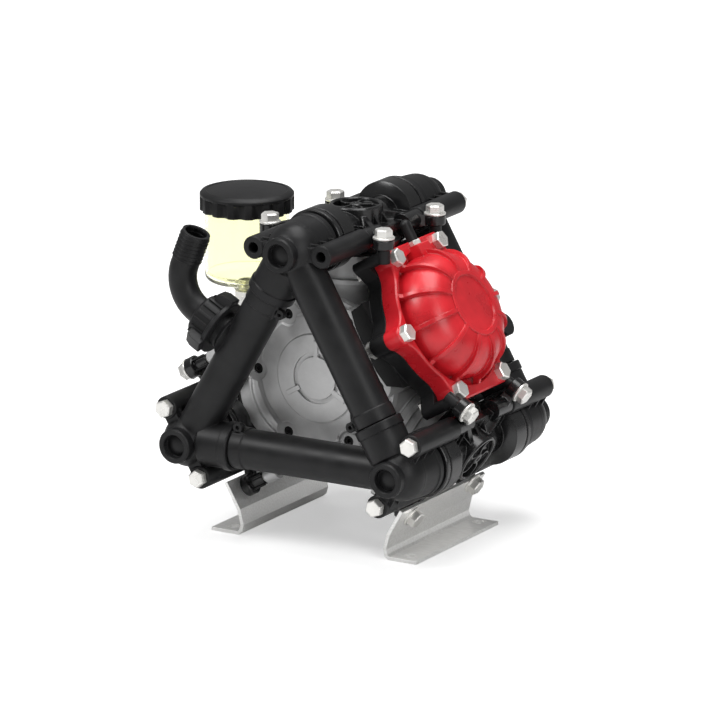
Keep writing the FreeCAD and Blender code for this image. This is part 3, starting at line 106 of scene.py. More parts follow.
class Form:
    """Closed shapes gathered into one mesh, in millimetres."""

    def __init__(self, place=None):
        self.mesh = bmesh.new()
        self.place = place or Matrix.Identity(4)

    def lathe(self, outline, place=None, steps=72):
        """Turn an outline of (radius, height) points round the place's Z axis."""
        matrix = self.place @ (place or Matrix.Identity(4))
        rings = []
        for radius, height in outline:
            if radius < 1e-6:
                rings.append([self.mesh.verts.new(matrix @ Vector((0, 0, height)))])
                continue
            ring = []
            for step in range(steps):
                angle = 2 * math.pi * step / steps
                point = Vector((radius * math.cos(angle), radius * math.sin(angle), height))
                ring.append(self.mesh.verts.new(matrix @ point))
            rings.append(ring)
        pairs = list(zip(rings, rings[1:]))
        if len(rings[0]) > 1 and len(rings[-1]) > 1:
            pairs.append((rings[-1], rings[0]))
        for low, high in pairs:
            self.join_rings(low, high, steps)
        return self

    def join_rings(self, low, high, steps):
        for step in range(steps):
            after = (step + 1) % steps
            if len(low) == 1 and len(high) == 1:
                return
            if len(low) == 1:
                self.mesh.faces.new((low[0], high[after], high[step]))
            elif len(high) == 1:
                self.mesh.faces.new((low[step], low[after], high[0]))
            else:
                self.mesh.faces.new((low[step], low[after], high[after], high[step]))

    def loft(self, layers, steps=180, is_tube=False):
        """Join wavy rings, each given as (radius at an angle, height). A tube closes on its first ring."""
        rings = []
        for radius_at, height in layers:
            ring = []
            for step in range(steps):
                angle = 2 * math.pi * step / steps
                radius = radius_at(angle)
                point = Vector((radius * math.cos(angle), radius * math.sin(angle), height))
                ring.append(self.mesh.verts.new(self.place @ point))
            rings.append(ring)
        for low, high in zip(rings, rings[1:]):
            self.join_rings(low, high, steps)
        if is_tube:
            self.join_rings(rings[-1], rings[0], steps)
        else:
            self.mesh.faces.new(rings[0][::-1])
            self.mesh.faces.new(rings[-1])
        return self

    def prism(self, outline, height, place=None, taper=1.0):
        """Extrude an outline of (x, y) points along the place's Z axis."""
        matrix = self.place @ (place or Matrix.Identity(4))
        low = [self.mesh.verts.new(matrix @ Vector((x, y, 0))) for x, y in outline]
        high = [self.mesh.verts.new(matrix @ Vector((x * taper, y * taper, height))) for x, y in outline]
        self.mesh.faces.new(low[::-1])
        self.mesh.faces.new(high)
        for number in range(len(low)):
            after = (number + 1) % len(low)
            self.mesh.faces.new((low[number], low[after], high[after], high[number]))
        return self

    def block(self, low, high, place=None):
        outline = [(low[0], low[1]), (high[0], low[1]), (high[0], high[1]), (low[0], high[1])]
        base = (place or Matrix.Identity(4)) @ Matrix.Translation((0, 0, low[2]))
        return self.prism(outline, high[2] - low[2], base)

    def rod(self, radius, length, place=None, steps=48):
        return self.lathe([(0, 0), (radius, 0), (radius, length), (0, length)], place, steps)

    def ball(self, radius, place=None, steps=72):
        return self.lathe(arc((0, 0), radius, -90, 90, steps // 3), place, steps)

    def made(self, name, material, body="pump_body", instead_of=(), sharp=32.0):
        """Turn the gathered shapes into a named object on a body, in place of its CAD nodes."""
        bmesh.ops.recalc_face_normals(self.mesh, faces=self.mesh.faces)
        data = bpy.data.meshes.new(name)
        self.mesh.transform(Matrix.Scale(MM, 4))
        self.mesh.to_mesh(data)
        self.mesh.free()
        piece = bpy.data.objects.new(name, data)
        bpy.context.scene.collection.objects.link(piece)
        data.materials.append(material)
        shade(piece, sharp)
        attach(piece, body)
        if instead_of:
            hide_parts(*instead_of)
        return piece


def shade(piece, sharp):
    """Smooth shading that keeps edges sharper than the angle, in degrees."""
    piece.data.polygons.foreach_set("use_smooth", [True] * len(piece.data.polygons))
    piece.data.set_sharp_from_angle(angle=math.radians(sharp))


# Materials

def new_material(name):
    material = bpy.data.materials.get(name) or bpy.data.materials.new(name)
    material.use_nodes = True
    material.node_tree.nodes.clear()
    return material


class Finish:
    """A surface's shader with procedural colour, sheen and relief."""

    def __init__(self, name):
        self.material = new_material(name)
        self.tree = self.material.node_tree
        self.shader = self.node("ShaderNodeBsdfPrincipled")
        self.output = self.node("ShaderNodeOutputMaterial")
        self.tree.links.new(self.shader.outputs["BSDF"], self.output.inputs["Surface"])
        self.coordinates = self.node("ShaderNodeTexCoord")

    def node(self, kind):
        return self.tree.nodes.new(kind)

    def link(self, source, socket):
        self.tree.links.new(source, socket)

    def noise(self, scale, detail=4.0, stretch=(1, 1, 1)):
        """Noise in metres of the object, stretched along its axes."""
        mapping = self.node("ShaderNodeMapping")
        mapping.inputs["Scale"].default_value = stretch
        self.link(self.coordinates.outputs["Object"], mapping.inputs["Vector"])
        texture = self.node("ShaderNodeTexNoise")
        texture.inputs["Scale"].default_value = scale
        texture.inputs["Detail"].default_value = detail
        self.link(mapping.outputs["Vector"], texture.inputs["Vector"])
        return texture.outputs["Fac"]

    def between(self, factor, low, high, start=0.3, end=0.7):
        """Spread a noise value between two numbers."""
        spread = self.node("ShaderNodeMapRange")
        spread.inputs["From Min"].default_value = start
        spread.inputs["From Max"].default_value = end
        spread.inputs["To Min"].default_value = low
        spread.inputs["To Max"].default_value = high
        self.link(factor, spread.inputs["Value"])
        return spread.outputs["Result"]

    def colours(self, factor, first, second, start=0.3, end=0.7):
        ramp = self.node("ShaderNodeValToRGB")
        ramp.color_ramp.elements[0].position = start
        ramp.color_ramp.elements[0].color = (*first, 1)
        ramp.color_ramp.elements[1].position = end
        ramp.color_ramp.elements[1].color = (*second, 1)
        self.link(factor, ramp.inputs["Fac"])
        self.link(ramp.outputs["Color"], self.shader.inputs["Base Color"])

    def relief(self, height, strength, depth, edge=0.0):
        """Bump from a noise, over edges that look rounded by a radius in metres."""
        bump = self.node("ShaderNodeBump")
        bump.inputs["Strength"].default_value = strength
        bump.inputs["Distance"].default_value = depth
        self.link(height, bump.inputs["Height"])
        if edge:
            bevel = self.node("ShaderNodeBevel")
            bevel.samples = 4
            bevel.inputs["Radius"].default_value = edge
            self.link(bevel.outputs["Normal"], bump.inputs["Normal"])
        self.link(bump.outputs["Normal"], self.shader.inputs["Normal"])

    def set(self, **values):
        for name, value in values.items():
            self.shader.inputs[name.replace("_", " ")].default_value = value
        return self.material


def moulded(name, colour, roughness, edge=0.0009, gloss=0.5):
    """Glass-filled plastic: a fine grain, slight sheen changes and softened edges."""
    finish = Finish(name)
    cloud = finish.noise(45, 5)
    lighter = tuple(min(1, channel * 1.25 + 0.003) for channel in colour)
    darker = tuple(channel * 0.85 for channel in colour)
    finish.colours(cloud, darker, lighter)
    finish.link(finish.between(cloud, roughness - 0.05, roughness + 0.07), finish.shader.inputs["Roughness"])
    finish.relief(finish.noise(1800, 3), 0.18, 0.0002, edge)
    return finish.set(Specular_IOR_Level=gloss)


def cast_metal(name, colour, roughness):
    """As-cast or tumbled aluminium with a fine pebbled skin."""
    finish = Finish(name)
    cloud = finish.noise(60, 6)
    finish.colours(cloud, tuple(c * 0.86 for c in colour), tuple(min(1, c * 1.1) for c in colour))
    finish.link(finish.between(cloud, roughness - 0.06, roughness + 0.1), finish.shader.inputs["Roughness"])
    finish.relief(finish.noise(1400, 4), 0.3, 0.0002, 0.0007)
    return finish.set(Metallic=0.45)


def bright_metal(name, colour, roughness, stretch=(1, 1, 1), edge=0.0005):
    """Plated, ground or rolled metal, with its grain stretched along an axis."""
    finish = Finish(name)
    cloud = finish.noise(90, 4, stretch)
    finish.colours(cloud, tuple(c * 0.88 for c in colour), tuple(min(1, c * 1.06) for c in colour))
    finish.link(finish.between(cloud, roughness - 0.06, roughness + 0.08), finish.shader.inputs["Roughness"])
    finish.relief(finish.noise(500, 3, stretch), 0.1, 0.0001, edge)
    return finish.set(Metallic=0.7)


def clear_plastic(name, colour, roughness):
    """Clear moulded plastic with the faint waves of its mould."""
    finish = Finish(name)
    cloud = finish.noise(30, 3)
    finish.colours(cloud, tuple(c * 0.97 for c in colour), colour)
    finish.link(finish.between(cloud, roughness, roughness + 0.05), finish.shader.inputs["Roughness"])
    finish.relief(finish.noise(60, 2), 0.08, 0.0004)
    return finish.set(Transmission_Weight=0.97, IOR=1.16)


# Settings that a user would change

class PumpSizes(bpy.types.PropertyGroup):
    spoke_count: bpy.props.IntProperty(
        name="Spokes", description="Curved spokes round the hub in each head's round boss",
        default=5, min=3, max=9)
    gusset_count: bpy.props.IntProperty(
        name="Gussets", description="Fins from each head's round boss down to its base",
        default=12, min=4, max=24)
    dome_ribs: bpy.props.IntProperty(
        name="Dome ribs", description="Raised ribs on the red air chamber", default=12, min=6, max=24)
    rib_rise: bpy.props.FloatProperty(
        name="Rib rise", description="How far the dome's ribs stand out, in millimetres",
        default=4.0, min=0.5, max=6)
    cap_scallops: bpy.props.IntProperty(
        name="Scallops", description="Grip hollows round the oil tank's cap", default=16, min=8, max=24)


class PumpColours(bpy.types.PropertyGroup):
    black: bpy.props.FloatVectorProperty(
        name="Black plastic", description="Heads, manifolds and the air chamber's base",
        subtype="COLOR", size=3, default=(0.009, 0.009, 0.0095), min=0, max=1)
    red: bpy.props.FloatVectorProperty(
        name="Red plastic", description="The air chamber's cover", subtype="COLOR", size=3,
        default=(0.5, 0.010, 0.017), min=0, max=1)
    casting: bpy.props.FloatVectorProperty(
        name="Casting", description="The aluminium crankcase", subtype="COLOR", size=3,
        default=(0.56, 0.56, 0.56), min=0, max=1)
    plating: bpy.props.FloatVectorProperty(
        name="Plating", description="Bolts, nuts and washers", subtype="COLOR", size=3,
        default=(0.80, 0.79, 0.76), min=0, max=1)
    sheet: bpy.props.FloatVectorProperty(
        name="Sheet", description="The stainless feet", subtype="COLOR", size=3,
        default=(0.96, 0.95, 0.93), min=0, max=1)
    tank: bpy.props.FloatVectorProperty(
        name="Tank", description="The clear oil tank", subtype="COLOR", size=3,
        default=(1.0, 1.0, 0.78), min=0, max=1)


def materials(colours):
    """The finish of each material slot of the record."""
    return {
        "black_plastic": moulded("black_plastic", tuple(colours.black), 0.4, gloss=0.22),
        "glossy_black": moulded("glossy_black", tuple(c * 0.7 for c in colours.black), 0.2),
        "red_plastic": moulded("red_plastic", tuple(colours.red), 0.3),
        "cast_aluminium": cast_metal("cast_aluminium", tuple(colours.casting), 0.4),
        "machined_aluminium": bright_metal("machined_aluminium", (0.6, 0.6, 0.61), 0.3),
        "zinc_steel": bright_metal("zinc_steel", tuple(colours.plating), 0.3),
        "stainless_sheet": bright_metal("stainless_sheet", tuple(colours.sheet), 0.34, (1, 8, 8)),
        "bearing_steel": bright_metal("bearing_steel", (0.5, 0.5, 0.51), 0.2),
        "dark_steel": bright_metal("dark_steel", (0.03, 0.03, 0.03), 0.35),
        "black_rubber": moulded("black_rubber", (0.014, 0.014, 0.014), 0.6, gloss=0.3),
        "clear_plastic": clear_plastic("clear_plastic", tuple(colours.tank), 0.02),
        "white_plastic": moulded("white_plastic", (0.75, 0.73, 0.68), 0.5),
    }


def finish_of(name):
    return bpy.data.materials[name]


# Heads

BASE_RADIUS = 37.0
BASE_FLOOR = 99.5
BASE_TOP = 108.0
ROOM_RADIUS = 29.0
ROOM_ROOF = 107.2
RING_TOP = 134.0
RING_FLOOR = 127.0
RING_RADIUS = 22.0
RING_INSIDE = 18.6
HUB_RADIUS = 6.0
HUB_HOLE = 1.6
GUSSET_WIDTH = 2.2
STRUT_WIDTH = 4.0
COLUMN_RADIUS = 5.4
COLLAR_START = 43.5
COLLAR_END = 68.6
COLLAR_RADIUS = 27.0
GROOVE_START = 61.0
GROOVE_DEPTH = 1.6
HEAD_TUBE = 16.0
BOLT_FRONT = 53.8
BOLT_REAR = 47.5
BOLT_AXIAL = 46.5
BOLT_SEAT = 120.5
EAR_RADIUS = 8.8
EAR_HEIGHT = 8.5
MANIFOLD_BOLT = 31.7
BOSS_START = 20.0
BOSS_END = 43.6
BOSS_FACE = 109.0
BOSS_RADIUS = 9.5
SEAT_GAP = 0.3


def head_bolt_places():
    return [(-BOLT_FRONT, -BOLT_AXIAL), (-BOLT_REAR, BOLT_AXIAL),
            (BOLT_FRONT, -BOLT_AXIAL), (BOLT_REAR, BOLT_AXIAL)]


def beside_chamber(name, across):
    """Whether a head's bolt goes through one of the air chamber's brackets."""
    return (name == "top" and across > 0) or (name == "right" and across < 0)


def upright_fin(form, outline, thickness, turn):
    """A fin whose outline is given as (reach, height), turned round the station's axis."""
    stand = Matrix.Rotation(math.radians(turn), 4, "Z") @ Matrix.Rotation(math.radians(90), 4, "X")
    form.prism(outline, thickness, stand @ Matrix.Translation((0, 0, -thickness / 2)))


def curved_spoke(form, turn):
    """A thin blade that swings from the hub to the ring."""
    reach = RING_INSIDE + 0.5
    bow = 4.5
    width = 1.7
    outer_edge = []
    inner_edge = []
    for number in range(7):
        share = number / 6
        sweep = bow * math.sin(math.pi * share)
        outer_edge.append((4 + (reach - 4) * share, sweep + width / 2))
        inner_edge.append((4 + (reach - 4) * share, sweep - width / 2))
    place = Matrix.Rotation(math.radians(turn), 4, "Z") @ Matrix.Translation((0, 0, RING_FLOOR - 1))
    form.prism(inner_edge + outer_edge[::-1], RING_TOP - RING_FLOOR, place)


def round_boss(form, spokes, gussets):
    """The ring with its hub, curved spokes and outer fins."""
    form.lathe([(0, BASE_TOP - 0.5), (RING_RADIUS, BASE_TOP - 0.5), (RING_RADIUS, RING_TOP - 1.2),
                (RING_RADIUS - 1, RING_TOP), (RING_INSIDE + 0.8, RING_TOP), (RING_INSIDE, RING_TOP - 1),
                (RING_INSIDE, RING_FLOOR), (0, RING_FLOOR)])
    form.lathe([(0, RING_FLOOR), (HUB_RADIUS, RING_FLOOR), (HUB_RADIUS - 0.8, RING_TOP - 0.8),
                (HUB_RADIUS - 1.6, RING_TOP - 0.2), (HUB_HOLE + 0.6, RING_TOP - 0.2),
                (HUB_HOLE, RING_TOP - 2), (0, RING_TOP - 2)])
    for number in range(spokes):
        curved_spoke(form, 360 / spokes * number + 15)
    for number in range(gussets):
        fin = [(RING_RADIUS - 1, BASE_TOP - 0.6), (36, BASE_TOP - 0.6), (35.5, BASE_TOP + 1.5),
               (RING_RADIUS + 1.5, RING_TOP - 8), (RING_RADIUS - 1, RING_TOP - 6)]
        upright_fin(form, fin, GUSSET_WIDTH, 360 / gussets * (number + 0.5))


def bolt_ear(form, across, along_tube, has_column):
    """An ear under a head bolt, its strut to the ring and its finned column."""
    reach = math.hypot(across, along_tube)
    turn = math.degrees(math.atan2(along_tube, across))
    ear_bottom = BOLT_SEAT - EAR_HEIGHT
    strut = [(RING_RADIUS - 2, ear_bottom - 4), (reach - 3, ear_bottom), (reach, BOLT_SEAT - 2),
             (reach - 8, BOLT_SEAT), (RING_RADIUS - 2, BOLT_SEAT + 7)]
    upright_fin(form, strut, STRUT_WIDTH, turn)
    spot = Matrix.Translation((across, along_tube, 0))
    form.lathe([(0, ear_bottom), (EAR_RADIUS - 0.8, ear_bottom), (EAR_RADIUS, ear_bottom + 0.8),
                (EAR_RADIUS, BOLT_SEAT - 0.8), (EAR_RADIUS - 0.8, BOLT_SEAT), (0, BOLT_SEAT)], spot, 40)
    if not has_column:
        return
    form.rod(COLUMN_RADIUS, ear_bottom - BASE_FLOOR, spot @ Matrix.Translation((0, 0, BASE_FLOOR)), 32)
    for number in range(4):
        fin = Matrix.Rotation(math.radians(90 * number + turn), 4, "Z")
        form.block((0, -1, BASE_FLOOR), (COLUMN_RADIUS + 1.8, 1, ear_bottom + 1), spot @ fin)


def head_tube(form):
    """The tube across the head, which leaves the room for the piston and the diaphragm free."""
    lying = Matrix.Rotation(math.radians(90), 4, "X")
    form.prism(arc((0, 0), HEAD_TUBE, -30, 210, 48), 2 * COLLAR_START,
               Matrix.Translation((0, COLLAR_START, PORT_CIRCLE)) @ lying)
    for end in (-1, 1):
        start = (0, end * (ROOM_RADIUS + 0.6), PORT_CIRCLE)
        form.rod(HEAD_TUBE, COLLAR_START - ROOM_RADIUS - 0.6, along((0, end, 0), start), 72)


def head_collar(form, end):
    """The wide collar at one end of a head, with a groove and a rim beside the corner."""
    outline = [(0, COLLAR_START - 2.5), (HEAD_TUBE, COLLAR_START - 2.5), (COLLAR_RADIUS - 3, COLLAR_START),
               (COLLAR_RADIUS, COLLAR_START + 1.5), (COLLAR_RADIUS, GROOVE_START),
               (COLLAR_RADIUS - GROOVE_DEPTH, GROOVE_START + 0.6),
               (COLLAR_RADIUS - GROOVE_DEPTH, GROOVE_START + 2.4), (COLLAR_RADIUS, GROOVE_START + 3),
               (COLLAR_RADIUS, COLLAR_END - 0.8), (COLLAR_RADIUS - 0.8, COLLAR_END), (0, COLLAR_END)]
    form.lathe(outline, along((0, end, 0), (0, 0, PORT_CIRCLE)), 96)


def manifold_boss(form, side, end):
    """A head's boss for a manifold bolt, with its web to the tube and two thin ribs."""
    start = along((0, end, 0), (side * MANIFOLD_BOLT, end * BOSS_START, PORT_CIRCLE))
    length = BOSS_END - SEAT_GAP - BOSS_START
    form.lathe([(0, 0), (BOSS_RADIUS - 1, 0), (BOSS_RADIUS - 1, length - 0.8), (BOSS_RADIUS - 1.8, length),
                (0, length)], start, 40)
    low = min(0, end * (BOSS_END - SEAT_GAP))
    high = max(0, end * (BOSS_END - SEAT_GAP))
    form.block((min(0, side * MANIFOLD_BOLT), low, PORT_CIRCLE - 3.5),
               (max(0, side * MANIFOLD_BOLT), high, PORT_CIRCLE + 3.5))
    for share in (0.35, 0.75):
        middle = end * (BOSS_START + length * share)
        form.block((min(0, side * MANIFOLD_BOLT), middle - 1, PORT_CIRCLE - 7.5),
                   (max(0, side * MANIFOLD_BOLT), middle + 1, PORT_CIRCLE + 7.5))


def head_form(name, sizes):
    form = Form(station(STATIONS[name]))
    form.lathe([(0, ROOM_ROOF), (ROOM_RADIUS, ROOM_ROOF), (ROOM_RADIUS, BASE_FLOOR),
                (BASE_RADIUS - 0.6, BASE_FLOOR), (BASE_RADIUS, BASE_FLOOR + 0.6),
                (BASE_RADIUS, BASE_TOP - 2.5), (BASE_RADIUS - 2, BASE_TOP - 0.4),
                (BASE_RADIUS - 6, BASE_TOP), (0, BASE_TOP)], None, 96)
    round_boss(form, sizes.spoke_count, sizes.gusset_count)
    head_tube(form)
    for end in (-1, 1):
        head_collar(form, end)
        for side in (-1, 1):
            manifold_boss(form, side, end)
    for across, along_tube in head_bolt_places():
        bolt_ear(form, across, along_tube, not beside_chamber(name, across))
    return form


class PUMP_OT_heads(bpy.types.Operator):
    """Build the three moulded heads with their round bosses, fins and bolt ears"""
    bl_idname = "pump.heads"
    bl_label = "Heads"

    def execute(self, context):
        for name in STATIONS:
            node = "head_" + name
            head_form(name, context.scene.pump_sizes).made(
                "ribbed_" + node, finish_of("glossy_black"), instead_of=[node])
        return {"FINISHED"}


# Manifold corners

ELBOW_RADIUS = 22.5
BARREL_RADIUS = 25.0
BARREL_END = COLLAR_END + 2.0
TUBE_RADIUS = 16.7
SOCKET_RADIUS = 20.3
SOCKET_START = 18.0
SOCKET_END = 45.0
PORT_RADIUS = 14.0
PORT_BORE = 9.5
PORT_RECESS = 7.0
OPEN_PORT_FLOOR = 3.0
THREAD_PITCH = 1.8
CLIP_HOLE = 1.8
LUG_RADIUS = 4.2
LUG_DEPTH = 5.0
BOSS_HOLE = 4.4
STUB_RADIUS = 15.5
STUB_LENGTH = 26.2
POST_PLACE = 25.0
POST_RADIUS = 9.5
POST_LENGTH = 28.7


def run_frame(sideways):
    """A frame at a front corner's vertex with its Z along the run to the neighbour on that side."""
    turn = math.radians(60)
    direction = (sideways * math.cos(turn), 0, -math.sin(turn))
    return along(direction, (0, -MANIFOLD_PLANE, PORT_CIRCLE))


def port(form, is_open):
    """The round port with its rim and either a plug or an open thread."""
    rim = PORT_RADIUS + 0.6
    face = PORT_FACE - MANIFOLD_PLANE
    outline = [(0, 0), (PORT_RADIUS, 0), (PORT_RADIUS, face - 7.1), (rim, face - 6.6), (rim, face - 1.5),
               (rim - 1, face), (PORT_BORE + 0.9, face), (PORT_BORE, face - 0.9)]
    depth = OPEN_PORT_FLOOR if is_open else face - PORT_RECESS
    if is_open:
        for number in range(7):
            height = face - 2.1 - THREAD_PITCH * number
            outline += [(PORT_BORE + 0.5, height), (PORT_BORE, height - THREAD_PITCH / 2)]
    outline += [(PORT_BORE, depth), (0, depth)]
    form.lathe(outline, along((0, -1, 0), (0, -MANIFOLD_PLANE, PORT_CIRCLE)), 72)


def corner_boss(form, side, has_bolt):
    """The long boss for a manifold bolt, with webs to the elbow. Without its bolt the hole shows."""
    start = along((0, 1, 0), (side * MANIFOLD_BOLT, -BOSS_FACE, PORT_CIRCLE))
    length = BOSS_FACE - BOSS_END
    wall = [(BOSS_RADIUS - 0.8, 0), (BOSS_RADIUS, 0.8), (BOSS_RADIUS, length - 0.8),
            (BOSS_RADIUS - 0.8, length)]
    if has_bolt:
        form.lathe([(0, 0)] + wall + [(0, length)], start, 48)
    else:
        form.lathe([(BOSS_HOLE, length), (BOSS_HOLE, 0.5), (BOSS_HOLE + 0.5, 0)] + wall, start, 48)
    inner = side * 8
    outer = side * MANIFOLD_BOLT
    reach = outer if has_bolt else outer - side * (BOSS_HOLE + 0.6)
    form.block((min(inner, reach), -BOSS_FACE + 1, PORT_CIRCLE - 6),
               (max(inner, reach), -BARREL_END, PORT_CIRCLE + 6))
    for depth in (BOSS_FACE - 6, BOSS_FACE - 18, BOSS_FACE - 30):
        form.block((min(inner, reach), -depth - 1.2, PORT_CIRCLE - 8.6),
                   (max(inner, reach), -depth + 1.2, PORT_CIRCLE + 8.6))


def clip_lug(form):
    """The small lug with a hole on the tube's inner side, just before the joint."""
    lug = run_frame(1) @ Matrix.Translation((0, 0, SIDE_LENGTH - SOCKET_END - 6))
    inward = TUBE_RADIUS + 2.5
    place = lug @ Matrix.Translation((inward, -10, 0)) @ along((0, 1, 0))
    form.lathe([(CLIP_HOLE, 0), (LUG_RADIUS, 0), (LUG_RADIUS, LUG_DEPTH), (CLIP_HOLE, LUG_DEPTH)], place, 32)
    for side in (-1, 1):
        gusset = lug @ Matrix.Translation((0, -10, 0)) @ Matrix.Rotation(math.radians(-90), 4, "X")
        form.prism([(inward - 3, 0), (inward - 3, side * 4), (TUBE_RADIUS - 3, side * 10),
                    (TUBE_RADIUS - 3, 0)], LUG_DEPTH, gusset)


def corner_form(place, is_open, has_bolts=True):
    form = Form(place)
    vertex = Matrix.Translation((0, -MANIFOLD_PLANE, PORT_CIRCLE))
    form.ball(ELBOW_RADIUS, vertex)
    reach = MANIFOLD_PLANE - BARREL_END
    form.lathe([(0, 0), (ELBOW_RADIUS, 0), (BARREL_RADIUS - 0.8, reach - 6), (BARREL_RADIUS, reach - 5.5),
                (BARREL_RADIUS, reach - 0.5), (BARREL_RADIUS - 0.5, reach), (0, reach)],
               along((0, 1, 0), (0, -MANIFOLD_PLANE, PORT_CIRCLE)), 96)
    port(form, is_open)
    for side in (-1, 1):
        corner_boss(form, side, has_bolts)
    tube_end = SIDE_LENGTH - SOCKET_END - SEAT_GAP
    form.lathe([(0, 0), (TUBE_RADIUS, 0), (TUBE_RADIUS, tube_end - 12), (TUBE_RADIUS + 0.8, tube_end - 11),
                (TUBE_RADIUS + 0.8, tube_end - 0.8), (TUBE_RADIUS, tube_end), (0, tube_end)],
               run_frame(1), 72)
    form.lathe([(0, 0), (SOCKET_RADIUS - 1, SOCKET_START - 2), (SOCKET_RADIUS - 1, SOCKET_END - 8),
                (SOCKET_RADIUS, SOCKET_END - 7.4), (SOCKET_RADIUS, SOCKET_END - 0.8),
                (SOCKET_RADIUS - 0.8, SOCKET_END), (TUBE_RADIUS - 1, SOCKET_END), (0, SOCKET_END)],
               run_frame(-1), 72)
    clip_lug(form)
    return form


class PUMP_OT_manifolds(bpy.types.Operator):
    """Build the front and rear manifold triangles from their moulded corners"""
    bl_idname = "pump.manifolds"
    bl_label = "Manifolds"

    def execute(self, context):
        black = finish_of("black_plastic")
        for name, angle in STATIONS.items():
            front = corner_form(station(angle), name == "left", name != "top")
            if name == "left":
                self.inlet_stub(front)
            front.made("front_corner_" + name, black, instead_of=["suction_corner_" + name])
            rear = corner_form(station(angle) @ TO_BACK, name == "left")
            if name == "top":
                self.feed_post(rear)
            rear.made("rear_corner_" + name, black, instead_of=["delivery_corner_" + name])
        return {"FINISHED"}

    def inlet_stub(self, form):
        """The stub on the left front tube that the hose elbow is clamped to."""
        place = (form.place.inverted() @ station(INLET_SIDE)
                 @ Matrix.Translation((0, -MANIFOLD_PLANE, PORT_CIRCLE / 2)))
        form.lathe([(0, 0), (STUB_RADIUS + 3, 14), (STUB_RADIUS, 17), (STUB_RADIUS, STUB_LENGTH),
                    (0, STUB_LENGTH)], place, 64)

    def feed_post(self, form):
        """The post on the rear right-hand tube that feeds the air chamber."""
        place = (form.place.inverted() @ station(CHAMBER_SIDE)
                 @ Matrix.Translation((POST_PLACE, MANIFOLD_PLANE, PORT_CIRCLE / 2)))
        form.rod(POST_RADIUS, POST_LENGTH, place, 40)


# Air chamber

FLANGE_RADIUS = 63.0
LOBE_RADIUS = 8.5
CHAMBER_BOLTS = 68.5
CHAMBER_BOTTOM = 70.0
CHAMBER_SPLIT = 84.0
CHAMBER_SEAT = 100.0
DOME_TOP = 129.0
DOME_FOOT = 54.0
DOME_CAP = 28.0
RIB_WIDTH = 3.4
CAP_RIM = 3.4
WEDGE_WIDTH = 18.0
SKIRT_FACE = 60.5
SKIRT_BACK = 44.0
SKIRT_BOTTOM = 54.0


def dome_profile(offset, fade=0.0, steps=20):
    """The dome's curve from its foot to its cap, swelled by an offset that fades towards the cap."""
    points = []
    rise = DOME_TOP - CHAMBER_SEAT
    for number in range(steps + 1):
        share = number / steps
        turn = math.radians(90 * share)
        swell = offset * (1 - fade * share ** 2)
        radius = DOME_CAP + (DOME_FOOT - DOME_CAP) * math.cos(turn)
        points.append((radius + swell * math.cos(turn), CHAMBER_SEAT + (rise + swell) * math.sin(turn)))
    return points


def dome_rib(form, turn, rise):
    """One raised rib that follows the dome from its foot to the cap."""
    outline = dome_profile(-2.0)[::-1] + [(FLANGE_RADIUS - 2.5, CHAMBER_SEAT - 7)]
    outline += [(FLANGE_RADIUS - 2.5, CHAMBER_SEAT + 0.4)] + dome_profile(rise, 0.8)[1:]
    upright_fin(form, outline, RIB_WIDTH, turn)


def flange_radius(angle):
    """The flange's outline: six round lobes with straight or hollow sides between them."""
    turn = math.degrees(angle)
    to_end = abs((turn + 90) % 180 - 90)
    if to_end < 30:
        return (CHAMBER_BOLTS * math.cos(math.radians(30)) + LOBE_RADIUS) / math.cos(math.radians(to_end))
    swing = abs((turn - 90 + 30) % 60 - 30)
    off_axis = CHAMBER_BOLTS * math.sin(math.radians(swing))
    if off_axis < LOBE_RADIUS * 0.97:
        return CHAMBER_BOLTS * math.cos(math.radians(swing)) + math.sqrt(LOBE_RADIUS ** 2 - off_axis ** 2)
    start = math.degrees(math.asin(LOBE_RADIUS * 0.97 / CHAMBER_BOLTS))
    share = min(1.0, (swing - start) / 12.0)
    lobe_edge = CHAMBER_BOLTS * math.cos(math.radians(start)) + 2.0
    return lobe_edge + (FLANGE_RADIUS - lobe_edge) * (1 - (1 - share) ** 2)


def shrunk_flange(inset):
    return lambda angle: flange_radius(angle) - inset


def cover_form(sizes):
    form = Form(station(CHAMBER_SIDE))
    seat = CHAMBER_SEAT
    pocket = DOME_FOOT + 6
    layers = [(shrunk_flange(0.5), CHAMBER_SPLIT), (shrunk_flange(0), CHAMBER_SPLIT + 0.5),
              (shrunk_flange(0), seat - 1.2), (shrunk_flange(1.2), seat),
              (lambda angle: pocket + 0.5, seat), (lambda angle: pocket, seat - 0.5),
              (lambda angle: pocket, CHAMBER_SPLIT)]
    form.loft(layers, 360, is_tube=True)
    form.lathe([(0, CHAMBER_SPLIT), (pocket + 0.5, CHAMBER_SPLIT), (pocket + 0.5, seat - 6),
                (0, seat - 6)], None, 128)
    cap = DOME_CAP
    form.lathe([(0, seat - 7), (DOME_FOOT - 0.5, seat - 7)] + dome_profile(0)
               + [(cap + 0.6, DOME_TOP + 0.4), (cap, DOME_TOP + 1.2), (cap - CAP_RIM, DOME_TOP + 1.2),
                  (cap - CAP_RIM - 0.6, DOME_TOP - 0.6), (0, DOME_TOP - 0.6)], None, 128)
    for number in range(sizes.dome_ribs):
        dome_rib(form, 360 / sizes.dome_ribs * number, sizes.rib_rise)
    wedge = [(30, CHAMBER_SPLIT), (FLANGE_RADIUS, CHAMBER_SPLIT), (FLANGE_RADIUS, seat + 8),
             (FLANGE_RADIUS - 1, seat + 9), (50, seat + 10), (42, seat + 22), (30, seat + 22)]
    upright_fin(form, wedge, WEDGE_WIDTH, 180)
    return form


